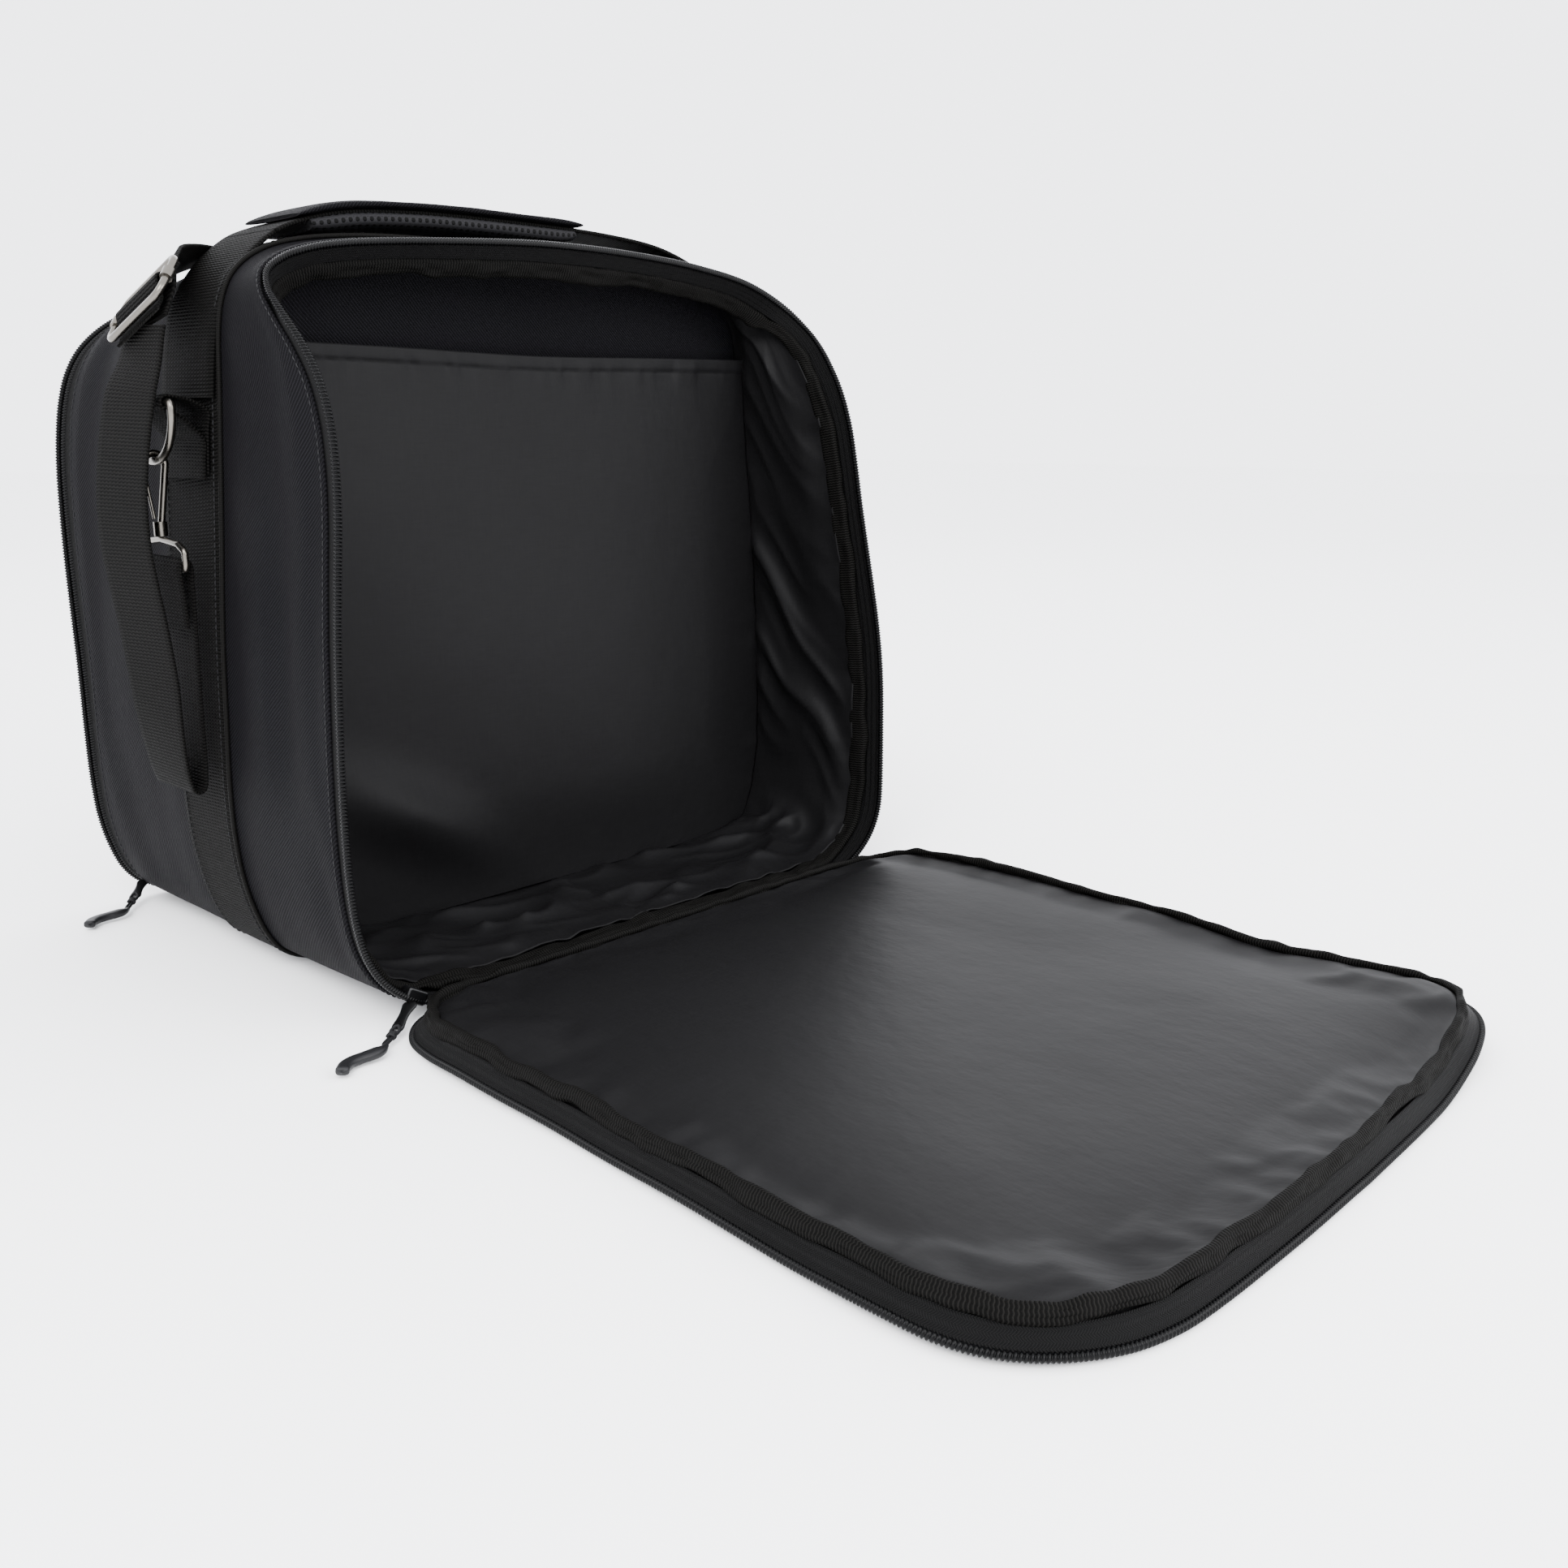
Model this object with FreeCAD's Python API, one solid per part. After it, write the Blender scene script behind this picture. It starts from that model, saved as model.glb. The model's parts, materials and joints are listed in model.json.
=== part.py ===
import FreeCAD, Part

import math
import os

# Square two-compartment flight bag: each end is a padded door hinged along the floor, the front one lying open.
# Millimetres. X is the bag's width, -Y its open front, +Z up, and the origin is under its middle, on the floor.

WIDTH = 350.0
HEIGHT = 346.0
DEPTH = 260.0
BASE = 1.5  # the fabric stands this far up, on the belt webbing
TOP_RADIUS = 100.0
BOTTOM_RADIUS = 50.0
MID_Y = -2.0  # middle of the belt webbing, the handle and the strap rings

RIM_Y = -DEPTH / 2
KINK_Z = 233.0  # above this height the front rim leans back
SETBACK = 64.0
RIM_SLOPE = SETBACK / (HEIGHT - KINK_Z)
RIM_ANGLE = math.degrees(math.atan(RIM_SLOPE))
RIM_STRETCH = 1.0 / math.cos(math.radians(RIM_ANGLE))

SHELL = 1.5
FOAM = (1.7, 6.7)  # insets from the outer face
LINING = (6.9, 8.2)
TAPE = (1.7, 2.6)
COIL = (1.0, 4.0)
BINDING = (2.8, 12.5)
SHELL_START = 6.0  # distances back from the rim plane
BINDING_SPAN = (13.0, 27.0)
COIL_SPAN = (-2.8, 0.2)
FOLD_HALF = 120.0  # the fabric hinge is this half width; the zip runs round the rest

DIVIDER_Y = (-27.7, -19.1)
POCKET_Y = (-34.5, -33.0)
POCKET_TOP = 298.0

DOOR_Y = RIM_Y - 6.4  # outer face of the closed front door
HINGE_Z = 3.0
HINGE_Y = DOOR_Y + HINGE_Z
FLEX_Z = KINK_Z
DOOR_NEAR = 2.5  # the door starts this far from its hinge line

BELT_WIDTH = 50.0
BELT = (-1.5, -0.1)
STRAP_WIDTH = 40.0
STRAP_THICK = 1.6

RING_X = 187.0
RING_Z = 270.0
RING_WIRE = 1.8
RING_HALF = 22.9
RING_CORNER = 2.8
RING_DROP = RING_HALF + RING_CORNER
HOOK_WIRE = 1.6
EYE_Z = 197.0
GATE_LENGTH = 20.0

HANDLE_TOP = 361.0
HANDLE_SPLIT = 133.0
PAD_X = (-121.0, 45.0)

V = FreeCAD.Vector
X_AXIS, Y_AXIS, Z_AXIS = V(1, 0, 0), V(0, 1, 0), V(0, 0, 1)


# ---------------------------------------------------------------- helpers

def save(name, shape):
    if shape.ShapeType == "Compound" and len(shape.Solids) == 1:
        shape = shape.Solids[0]
    shape.exportStep(os.path.join("parts", name + ".step"))


def box(x, y, z):
    return Part.makeBox(x[1] - x[0], y[1] - y[0], z[1] - z[0], V(x[0], y[0], z[0]))


def elliptic_corner(centre, across, up, start):
    """Quarter of an ellipse about centre; start 0 is the +X side and start 90 the -X side."""
    def point(degrees):
        a = math.radians(degrees)
        return centre + V(across * math.cos(a), 0, up * math.sin(a))
    if abs(across - up) < 1e-6:
        return Part.Arc(point(start), point(start + 45), point(start + 90)).toShape()
    ellipse = Part.Ellipse(centre + V(0, 0, up), centre + V(across, 0, 0), centre)
    first = ellipse.parameter(point(start))
    last = ellipse.parameter(point(start + 90))
    if abs(last - first) > math.pi:
        first, last = (first, last + 2 * math.pi) if last < first else (first + 2 * math.pi, last)
    return Part.ArcOfEllipse(ellipse, min(first, last), max(first, last)).toShape()


def outline(inset, y, stretch=1.0):
    """The bag's rounded outline in the plane at y; stretch lengthens it above the kink in the rim."""
    half = WIDTH / 2 - inset
    low = BASE + inset
    side_top = HEIGHT - TOP_RADIUS
    high = KINK_Z + (HEIGHT - KINK_Z) * stretch - inset
    corner_z = KINK_Z + (side_top - KINK_Z) * stretch
    across = TOP_RADIUS - inset
    up = high - corner_z
    r = max(BOTTOM_RADIUS - inset, 8.0)
    k = r * math.sqrt(0.5)
    x_top = half - across
    x_low = half - r
    z_low = low + r
    line = Part.LineSegment
    edges = [
        line(V(-x_low, y, low), V(x_low, y, low)).toShape(),
        Part.Arc(V(x_low, y, low), V(x_low + k, y, z_low - k), V(half, y, z_low)).toShape(),
        line(V(half, y, z_low), V(half, y, corner_z)).toShape(),
        elliptic_corner(V(x_top, y, corner_z), across, up, 0),
        line(V(x_top, y, high), V(-x_top, y, high)).toShape(),
        elliptic_corner(V(-x_top, y, corner_z), across, up, 90),
        line(V(-half, y, corner_z), V(-half, y, z_low)).toShape(),
        Part.Arc(V(-half, y, z_low), V(-x_low - k, y, z_low - k), V(-x_low, y, low)).toShape(),
    ]
    return Part.Wire(Part.__sortEdges__(edges))


def prism(inset, y, stretch=1.0):
    return Part.Face(outline(inset, y[0], stretch)).extrude(V(0, y[1] - y[0], 0))


def tube(insets, y, stretch=1.0):
    inner = prism(insets[1], (y[0] - 1, y[1] + 1), stretch)
    return prism(insets[0], y, stretch).cut(inner)


def behind_front_rim(a, b=None, flat_end=None):
    """The slab between the leaning front rim moved back by a and either the rim moved by b or a flat plane."""
    top = HEIGHT + 40
    lean = RIM_SLOPE * (top - KINK_Z)
    near = [(RIM_Y + a, -20), (RIM_Y + a, KINK_Z), (RIM_Y + a + lean, top)]
    if flat_end is None:
        far = [(RIM_Y + b + lean, top), (RIM_Y + b, KINK_Z), (RIM_Y + b, -20)]
    else:
        far = [(flat_end, top), (flat_end, -20)]
    points = [V(-250, y, z) for y, z in near + far]
    face = Part.Face(Part.makePolygon(points + points[:1]))
    return face.extrude(V(500, 0, 0))


def front_ring(insets, span):
    return tube(insets, (RIM_Y - 20, 20)).common(behind_front_rim(span[0], b=span[1]))


def rear_ring(insets, span):
    return tube(insets, (-RIM_Y - span[1], -RIM_Y - span[0]))


def without_fold(shape):
    """Takes away the straight bottom stretch, where the fabric hinge is and no zip runs."""
    return shape.cut(box((-FOLD_HALF, FOLD_HALF), (-600, 600), (-20, 22)))


def rounded_path(points, radius, closed=False):
    """Straight edges through the points with each corner rounded by a tangent arc."""
    count = len(points)
    corners = range(count) if closed else range(1, count - 1)
    cuts = {}
    for i in corners:
        p, before, after = points[i], points[i - 1], points[(i + 1) % count]
        d0, d1 = (before - p).normalize(), (after - p).normalize()
        half = d0.getAngle(d1) / 2
        reach = radius / math.tan(half)
        middle = (d0 + d1).normalize()
        centre_gap = radius / math.sin(half)
        cuts[i] = (p + d0 * reach, p + middle * (centre_gap - radius), p + d1 * reach)
    edges = []
    last = count if closed else count - 1
    for i in range(last):
        j = (i + 1) % count
        start = cuts[i][2] if i in cuts else points[i]
        end = cuts[j][0] if j in cuts else points[j]
        if (end - start).Length > 1e-3:
            edges.append(Part.LineSegment(start, end).toShape())
        if j in cuts and (closed or j < count - 1):
            edges.append(Part.Arc(*cuts[j]).toShape())
    return edges


def rod(edges, radius):
    """Round wire swept along connected edges."""
    path = Part.Wire(edges)
    first = path.OrderedEdges[0]
    start = first.valueAt(first.FirstParameter)
    tangent = first.tangentAt(first.FirstParameter)
    circle = Part.Wire(Part.makeCircle(radius, start, tangent))
    return path.makePipeShell([circle], True, False)


def ribbon(stations, width, thick):
    """A flat band through stations of (centre, width direction), skinned with flat facets."""
    sections = []
    for i, (centre, across) in enumerate(stations):
        before = stations[max(i - 1, 0)][0]
        after = stations[min(i + 1, len(stations) - 1)][0]
        along = (after - before).normalize()
        side = (across - along * across.dot(along)).normalize()
        out = along.cross(side).normalize()
        sections.append([centre + side * (sx * width / 2) + out * (so * thick / 2)
                         for sx, so in ((1, 1), (-1, 1), (-1, -1), (1, -1))])
    faces = []

    def facet(*corners):
        faces.append(Part.Face(Part.makePolygon(list(corners) + [corners[0]])))

    for a, b in zip(sections, sections[1:]):
        for k in range(4):
            m = (k + 1) % 4
            facet(a[k], a[m], b[m])
            facet(a[k], b[m], b[k])
    for end in (sections[0], sections[-1]):
        facet(end[0], end[1], end[2])
        facet(end[0], end[2], end[3])
    shell = Part.makeShell(faces)
    shell.sewShape()
    solid = Part.makeSolid(shell)
    if solid.Volume < 0:
        solid.reverse()
    return solid


def smooth_route(points, spacing=6.0):
    """Evenly spaced points along a smooth curve through the given ones."""
    curve = Part.BSplineCurve()
    curve.interpolate(points)
    edge = curve.toShape()
    count = max(4, round(edge.Length / spacing))
    return edge.discretize(Number=count + 1)


def mirrored(shape, side):
    """The left-hand shape as it is, or its mirror image on the right."""
    return shape if side == "left" else shape.mirror(V(0, 0, 0), X_AXIS)


# ---------------------------------------------------------------- the bag's body

def body_shells():
    save("front_shell", tube((0, SHELL), (RIM_Y - 20, MID_Y - 0.1)).common(
        behind_front_rim(SHELL_START, flat_end=MID_Y - 0.1)))
    save("rear_shell", tube((0, SHELL), (MID_Y + 0.1, -RIM_Y - SHELL_START)))


def body_padding():
    start = BINDING_SPAN[1] + 0.3
    for name, insets in (("foam", FOAM), ("lining", LINING)):
        save("front_" + name, tube(insets, (RIM_Y - 20, DIVIDER_Y[0] - 0.2)).common(
            behind_front_rim(start, flat_end=DIVIDER_Y[0] - 0.2)))
        save("rear_" + name, tube(insets, (DIVIDER_Y[1] + 0.2, -RIM_Y - start)))


def divider():
    save("divider_panel", prism(FOAM[0], DIVIDER_Y))
    below = box((-200, 200), (-60, 0), (0, POCKET_TOP))
    pocket = prism(LINING[1] + 0.1, POCKET_Y).common(below)
    hem = prism(LINING[1] + 2.5, (POCKET_Y[0] - 1.2, POCKET_Y[0]))
    hem = hem.common(box((-200, 200), (-60, 0), (POCKET_TOP - 11, POCKET_TOP)))
    save("divider_pocket", pocket.fuse(hem))


def body_zips():
    for name, ring in (("front", front_ring), ("rear", rear_ring)):
        save(name + "_body_tape", without_fold(ring(TAPE, (0.3, 18.0))))
        save(name + "_body_coil", without_fold(ring(COIL, COIL_SPAN)))
        save(name + "_body_binding", ring(BINDING, BINDING_SPAN))


def hinge_tapes():
    low = BASE + TAPE[0]
    strip = box((-FOLD_HALF + 0.5, FOLD_HALF - 0.5), (RIM_Y - 2.6, RIM_Y + 12.6), (low, low + 0.9))
    save("hinge_tapes", Part.makeCompound([strip, strip.mirror(V(0, 0, 0), Y_AXIS)]))


def belt():
    edge = BELT_WIDTH / 2
    save("belt_webbing", tube(BELT, (MID_Y - edge, MID_Y + edge)))
    save("seam_piping", tube(BELT, (MID_Y - edge - 2.4, MID_Y - edge - 0.1)))


# ---------------------------------------------------------------- doors

def door_half(shape, low, high):
    return shape.common(box((-300, 300), (-600, 600), (low, high)))


def front_door_piece(make, part):
    """One layer of the front door, built upright and laid open on the floor about its hinge line."""
    shape = make(DOOR_Y, 1, RIM_STRETCH)
    if part == "lower":
        shape = door_half(shape, HINGE_Z + DOOR_NEAR, FLEX_Z - 0.3)
    else:
        shape = door_half(shape, FLEX_Z + 0.3, 500).cut(flex_notch())
    shape.rotate(V(0, HINGE_Y, HINGE_Z), X_AXIS, 90)
    return shape


def flex_notch():
    """The wedge of padding that gives way inside the bend when the door's upper part leans in."""
    pivot_y = RIM_Y
    reach = 60.0
    rise = reach * math.tan(math.radians(RIM_ANGLE)) + 0.3
    points = [V(-300, pivot_y, FLEX_Z), V(-300, pivot_y + reach, FLEX_Z),
              V(-300, pivot_y + reach, FLEX_Z + rise), V(-300, pivot_y, FLEX_Z + 0.3)]
    return Part.Face(Part.makePolygon(points + points[:1])).extrude(V(600, 0, 0))


def rear_door_piece(make):
    """One layer of the closed rear door."""
    return door_half(make(-DOOR_Y, -1, 1.0), HINGE_Z + DOOR_NEAR, 500)


def span(face, inward, heights):
    """The y range of a layer that lies between two heights above the door's outer face."""
    return tuple(sorted(face + inward * h for h in heights))


def plate(inset, heights):
    return lambda face, inward, stretch: prism(inset, span(face, inward, heights), stretch)


def band(insets, heights, open_fold=False):
    def make(face, inward, stretch):
        ring = tube(insets, span(face, inward, heights), stretch)
        return without_fold(ring) if open_fold else ring
    return make


def crowned(inset, base, crown):
    """A padded lining: full at its foot and pulled in towards its top."""
    levels = ((inset, base), (inset + 1, base + 0.35 * (crown - base)),
              (inset + 12, base + 0.8 * (crown - base)), (inset + 40, crown))

    def make(face, inward, stretch):
        wires = [outline(i, face + inward * h, stretch) for i, h in levels]
        return Part.makeLoft(wires, True, True)
    return make


DOOR_LAYERS = {
    "panel": plate(7.0, (0.0, 0.9)),
    "tape": band((1.9, 14.0), (1.1, 1.9), open_fold=True),
    "coil": band((-1.4, 1.7), (0.2, 3.2), open_fold=True),
    "binding": band((12.0, 21.0), (2.1, 10.5)),
    "foam": plate(21.5, (1.1, 7.0)),
    "lining": crowned(21.5, 7.2, 22.0),
}


def doors():
    for name, make in DOOR_LAYERS.items():
        for part in ("lower", "upper"):
            save("front_door_%s_%s" % (name, part), front_door_piece(make, part))
        save("rear_door_" + name, rear_door_piece(make))


# ---------------------------------------------------------------- zip sliders and pulls

def slider_frame(front, degrees, radial):
    """A point on the zip at the lower left corner, at an angle up from straight down."""
    a = math.radians(degrees)
    centre = V(-WIDTH / 2 + BOTTOM_RADIUS, 0, BASE + BOTTOM_RADIUS)
    y = RIM_Y + 0.6 if front else -RIM_Y - 0.6
    return centre + V(-radial * math.sin(a), y, -radial * math.cos(a))


def slider(front, degrees):
    block = box((-5.5, 5.5), (-3.4, 3.4), (-3.5, 3.2))
    block = block.makeFillet(1.2, block.Edges)
    block.rotate(V(0, 0, 0), Y_AXIS, degrees)
    block.translate(slider_frame(front, degrees, 47.5))
    return block


def flat_link(start, end, width, thick):
    """A flat bar between two points, level across its width."""
    along = (end - start).normalize()
    across = Z_AXIS.cross(along).normalize()
    return ribbon([(start, across), (end, across)], width, thick)


def zip_pull(name, anchor, joint, knot, tip):
    """A metal tab, a short doubled cord and a moulded grip, laid end to end."""
    gap = (joint - anchor).normalize() * 1.8
    save(name + "_pull_tab", flat_link(anchor, joint - gap, 6.0, 1.4))
    save(name + "_pull_cord", rod([Part.LineSegment(joint, knot).toShape()], 1.5))
    along = (tip - knot).normalize()
    across = Z_AXIS.cross(along).normalize()
    start = knot + along * 0.8
    bend = 2.0
    steps = [i / 6 for i in range(7)]
    route = [(start + (tip - start) * t + across * (bend * math.sin(2 * math.pi * t)), across)
             for t in steps]
    save(name + "_pull_grip", ribbon(route, 6.0, 3.6))


FRONT_PULL = (V(-153.0, -133.8, 4.0), V(-166.0, -140.5, 2.6), V(-176.0, -149.0, 2.6), V(-203.0, -159.0, 2.6))
REAR_PULL = (V(-159.5, 129.0, 10.6), V(-168.5, 120.5, 4.0), V(-177.0, 111.0, 2.6), V(-203.0, 98.0, 2.6))


def zip_sliders():
    save("front_slider", slider(True, 31))
    save("rear_slider", slider(False, 40))
    zip_pull("front", *FRONT_PULL)
    zip_pull("rear", *REAR_PULL)


# ---------------------------------------------------------------- rings, hooks and the shoulder strap

def ring_tab():
    """Webbing folded round the ring's bar, its two ends sewn flat to the belt."""
    width = 40.0
    start = V(-RING_X, MID_Y - width / 2, RING_Z)
    loop = Part.makeCylinder(3.6, width, start, Y_AXIS)
    root = [(-RING_X, RING_Z + 3.6), (-172.0, RING_Z + 5.0), (-172.0, 236.0), (-179.6, 236.0),
            (-179.6, 259.0), (-RING_X - 0.6, RING_Z - 3.55)]
    points = [V(x, start.y, z) for x, z in root]
    web = Part.Face(Part.makePolygon(points + points[:1])).extrude(V(0, width, 0))
    tab = loop.fuse(web).removeSplitter()
    tab = tab.cut(Part.makeCylinder(RING_WIRE + 0.3, width + 2, start - V(0, 1, 0), Y_AXIS))
    return tab.cut(prism(BELT[0] - 0.1, (-60, 60)))


def d_ring():
    """A straight bar and a half-round bow in one bent wire."""
    low = RING_Z - RING_CORNER
    straight = RING_HALF - RING_CORNER
    lean = RING_CORNER * math.sqrt(0.5)

    def at(y, z):
        return V(-RING_X, MID_Y + y, z)

    edges = [
        Part.LineSegment(at(-straight, RING_Z), at(straight, RING_Z)).toShape(),
        Part.Arc(at(straight, RING_Z), at(straight + lean, low + lean), at(RING_HALF, low)).toShape(),
        Part.Arc(at(RING_HALF, low), at(0, low - RING_HALF), at(-RING_HALF, low)).toShape(),
        Part.Arc(at(-RING_HALF, low), at(-straight - lean, low + lean), at(-straight, RING_Z)).toShape(),
    ]
    return rod(edges, RING_WIRE)


def hook_body():
    """Bent wire: a round nose over the ring, a straight spine, a swivel barrel and a squared eye."""
    nose = 5.0
    zc = RING_Z - RING_DROP - (nose - HOOK_WIRE - RING_WIRE - 0.25)
    swivel_top = V(-RING_X + 0.6, MID_Y, zc - 27.0)
    left = V(-RING_X - nose, MID_Y, zc)
    crown = V(-RING_X, MID_Y, zc + nose)
    right = V(-RING_X + nose, MID_Y, zc)
    wire = rod([Part.LineSegment(V(left.x + 0.3, MID_Y, zc - 3.0), left).toShape(),
                Part.Arc(left, crown, right).toShape()], HOOK_WIRE)
    spine = rod([Part.LineSegment(right, swivel_top).toShape()], HOOK_WIRE)
    barrel = Part.makeCylinder(3.0, 6.5, V(-RING_X, MID_Y, zc - 32.0), Z_AXIS)
    half, top = 22.4, zc - 33.5
    eye_points = [V(-RING_X, MID_Y + y, z) for y, z in (
        (0, top), (half - 6, top - 1.5), (half, top - 4.5), (half, EYE_Z), (-half, EYE_Z),
        (-half, top - 4.5), (-half + 6, top - 1.5))]
    eye = rod(rounded_path(eye_points, 2.2, closed=True), 1.5)
    hook = wire.fuse(Part.makeSphere(HOOK_WIRE, right)).fuse(spine).fuse(barrel).fuse(eye)
    gate_foot = V(-RING_X - 2.3, MID_Y, zc - 24.1)
    return hook, gate_foot, V(-RING_X - nose + 0.3, MID_Y, zc - 5.0)


def hook_gate(foot, tip):
    return rod([Part.LineSegment(foot, tip).toShape()], 0.8).fuse(Part.makeSphere(1.2, tip - V(0, 0, 0.6)))


def strap_stations():
    """The shoulder strap's route on the left, from beside the ring up over the corner and on to the top."""
    raw = [(V(-202, -6, 274), V(0.0, 1, 0)), (V(-195, -5, 289.5), V(0.0, 1, 0.0)),
           (V(-186.5, -4, 302), V(0.0, 1, -0.1)), (V(-180, -1, 311), V(0.05, 1, -0.15)),
           (V(-172, 7, 320.5), V(0.12, 1, -0.25)), (V(-158, 24, 329.5), V(0.25, 1, -0.3)),
           (V(-140, 42, 336.5), V(0.2, 1, -0.15)), (V(-118, 50, 342), V(0.1, 1, -0.05)),
           (V(-95, 51, 346.5), V(0, 1, 0)), (V(-70, 51, 348), V(0, 1, 0))]
    route = smooth_route([p for p, _ in raw], 7.0)
    keys = [p.x for p, _ in raw]
    stations = []
    for point in route:
        i = max(k for k in range(len(keys) - 1) if point.x >= keys[k] or k == 0)
        t = (point.x - keys[i]) / (keys[i + 1] - keys[i])
        stations.append((point, raw[i][1] * (1 - t) + raw[i + 1][1] * t))
    return stations


def strap_over_top():
    left = strap_stations()
    right = [(V(-p.x, p.y, p.z), V(-w.x, w.y, w.z)) for p, w in reversed(left)]
    return ribbon(left + right, STRAP_WIDTH, STRAP_THICK)


def band_in_xz(points, radius, width, thick, y):
    """A band of constant width whose route lies in one XZ plane, with rounded bends."""
    nodes = [V(x, y, z) for x, z in points]
    path = Part.Wire(rounded_path(nodes, radius))
    route = path.discretize(Deflection=0.15)
    return ribbon([(p, Y_AXIS) for p in route], width, thick)


def strap_loop():
    """The slack loop: down from the adjuster, through the hook's eye, down, back up on the outside."""
    points = [(-198.0, 262.0), (-195.4, 232.0), (-192.2, 208.0), (-188.5, 201.8), (-184.0, 200.4),
              (-183.2, 192.0), (-183.6, 150.0), (-188.5, 101.0), (-196.5, 101.0), (-205.0, 150.0), (-208.0, 215.0),
              (-204.5, 262.0)]
    return band_in_xz(points, 2.2, STRAP_WIDTH, STRAP_THICK, MID_Y)


def strap_end():
    """The strap's sewn end on the far side: down the outside, round the hook's eye and back on itself."""
    points = [(-206.0, 262.0), (-200.5, 232.0), (-190.6, 197.5), (-190.4, 193.6), (-183.6, 193.6),
              (-183.6, 200.6), (-188.8, 201.0), (-197.2, 232.0)]
    return band_in_xz(points, 1.5, STRAP_WIDTH, STRAP_THICK, MID_Y)


def adjuster():
    """Slide adjuster: a rounded wire frame with a collared bar across its middle, on top of the strap."""
    centre = V(-179.6, -0.4, 311.5)
    along = V(0.58, 0.40, 0.71).normalize()
    across = V(-0.12, 0.90, -0.40)
    across = (across - along * across.dot(along)).normalize()
    out = across.cross(along).normalize()
    lift = out * (5.2 if out.x < 0 else -5.2)
    half_across, half_along = 23.4, 12.0
    corners = [centre + lift + across * (a * half_across) + along * (b * half_along)
               for a, b in ((-1, -1), (1, -1), (1, 1), (-1, 1))]
    frame = rod(rounded_path(corners, 5.0, closed=True), 1.7)
    ends = [centre + lift + across * (s * half_across) for s in (-1, 1)]
    bar = rod([Part.LineSegment(ends[0], ends[1]).toShape()], 1.5)
    for end in ends:
        bar = bar.fuse(Part.makeCylinder(2.7, 5.0, end - along * 2.5, along))
    return frame, bar.cut(frame)


def straps():
    save("shoulder_strap", strap_over_top())
    frame, bar = adjuster()
    save("slide_adjuster", frame)
    save("adjuster_bar", bar)
    hook, foot, tip = hook_body()
    gate = hook_gate(foot, tip)
    for side in ("left", "right"):
        save(side + "_ring_tab", mirrored(ring_tab(), side))
        save(side + "_d_ring", mirrored(d_ring(), side))
        save(side + "_hook", mirrored(hook, side))
        save(side + "_gate", mirrored(gate, side))
    save("strap_loop_left", strap_loop())
    save("strap_end_right", mirrored(strap_end(), "right"))


# ---------------------------------------------------------------- carry handle

HANDLE_ROUTE = [(-172.4, 279.0), (-170.5, 300.0), (-161.0, 321.0), (-147.0, 336.0), (-133.0, 345.0),
                (-117.0, 351.5), (-98.0, 356.5), (-60.0, HANDLE_TOP - 1), (0.0, HANDLE_TOP)]


def handle_stations(x_low, x_high):
    half = [V(x, MID_Y, z) for x, z in HANDLE_ROUTE]
    points = half + [V(-p.x, p.y, p.z) for p in reversed(half[:-1])]
    return [(p, Y_AXIS) for p in smooth_route(points, 5.0) if x_low <= p.x <= x_high]


def handle():
    save("handle_webbing", ribbon(handle_stations(-HANDLE_SPLIT + 0.6, HANDLE_SPLIT - 0.6), BELT_WIDTH, 2.0))
    leg = ribbon(handle_stations(-200, -HANDLE_SPLIT - 0.6), BELT_WIDTH, 2.0)
    save("handle_ends", Part.makeCompound([leg, mirrored(leg, "right")]))
    stations = handle_stations(*PAD_X)
    raised = [(p + V(0, 0, 1.2), w) for p, w in stations]
    slot = ribbon(handle_stations(PAD_X[0] - 12, PAD_X[1] + 12), BELT_WIDTH + 0.4, 2.4)
    save("handle_pad", ribbon(raised, BELT_WIDTH + 6, 9.0).cut(slot))
    below = [(p - V(0, 0, 4.6), w) for p, w in stations]
    save("handle_mesh", ribbon(below, BELT_WIDTH - 2, 1.6))


os.makedirs("parts", exist_ok=True)
body_shells()
body_padding()
divider()
body_zips()
hinge_tapes()
belt()
doors()
zip_sliders()
straps()
handle()
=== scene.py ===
import json
import math

import bpy
import numpy as np
from numpy.linalg import norm
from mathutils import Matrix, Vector


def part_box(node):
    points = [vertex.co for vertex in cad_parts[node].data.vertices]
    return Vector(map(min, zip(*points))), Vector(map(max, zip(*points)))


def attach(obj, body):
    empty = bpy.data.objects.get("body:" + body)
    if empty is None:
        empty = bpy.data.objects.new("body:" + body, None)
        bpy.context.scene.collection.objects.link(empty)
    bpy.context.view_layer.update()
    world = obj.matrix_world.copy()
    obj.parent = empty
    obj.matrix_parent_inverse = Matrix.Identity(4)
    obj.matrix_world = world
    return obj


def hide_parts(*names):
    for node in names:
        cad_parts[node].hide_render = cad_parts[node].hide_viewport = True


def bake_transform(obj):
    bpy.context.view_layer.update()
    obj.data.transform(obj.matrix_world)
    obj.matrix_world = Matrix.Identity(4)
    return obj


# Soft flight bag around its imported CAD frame. Lengths are millimetres here and metres in Blender.
# X is the bag's width, -Y its open front and +Z up; the open front door lies on the floor towards -Y.

MM = 0.001
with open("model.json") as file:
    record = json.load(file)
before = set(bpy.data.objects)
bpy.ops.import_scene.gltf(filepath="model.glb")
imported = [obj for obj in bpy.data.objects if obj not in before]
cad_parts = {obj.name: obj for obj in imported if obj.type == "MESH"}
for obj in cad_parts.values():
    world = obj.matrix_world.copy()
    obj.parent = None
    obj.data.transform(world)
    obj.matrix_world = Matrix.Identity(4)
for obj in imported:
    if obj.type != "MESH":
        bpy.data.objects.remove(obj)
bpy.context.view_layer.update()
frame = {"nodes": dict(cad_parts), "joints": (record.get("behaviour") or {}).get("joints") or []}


# ---- dimensions read from the frame

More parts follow.
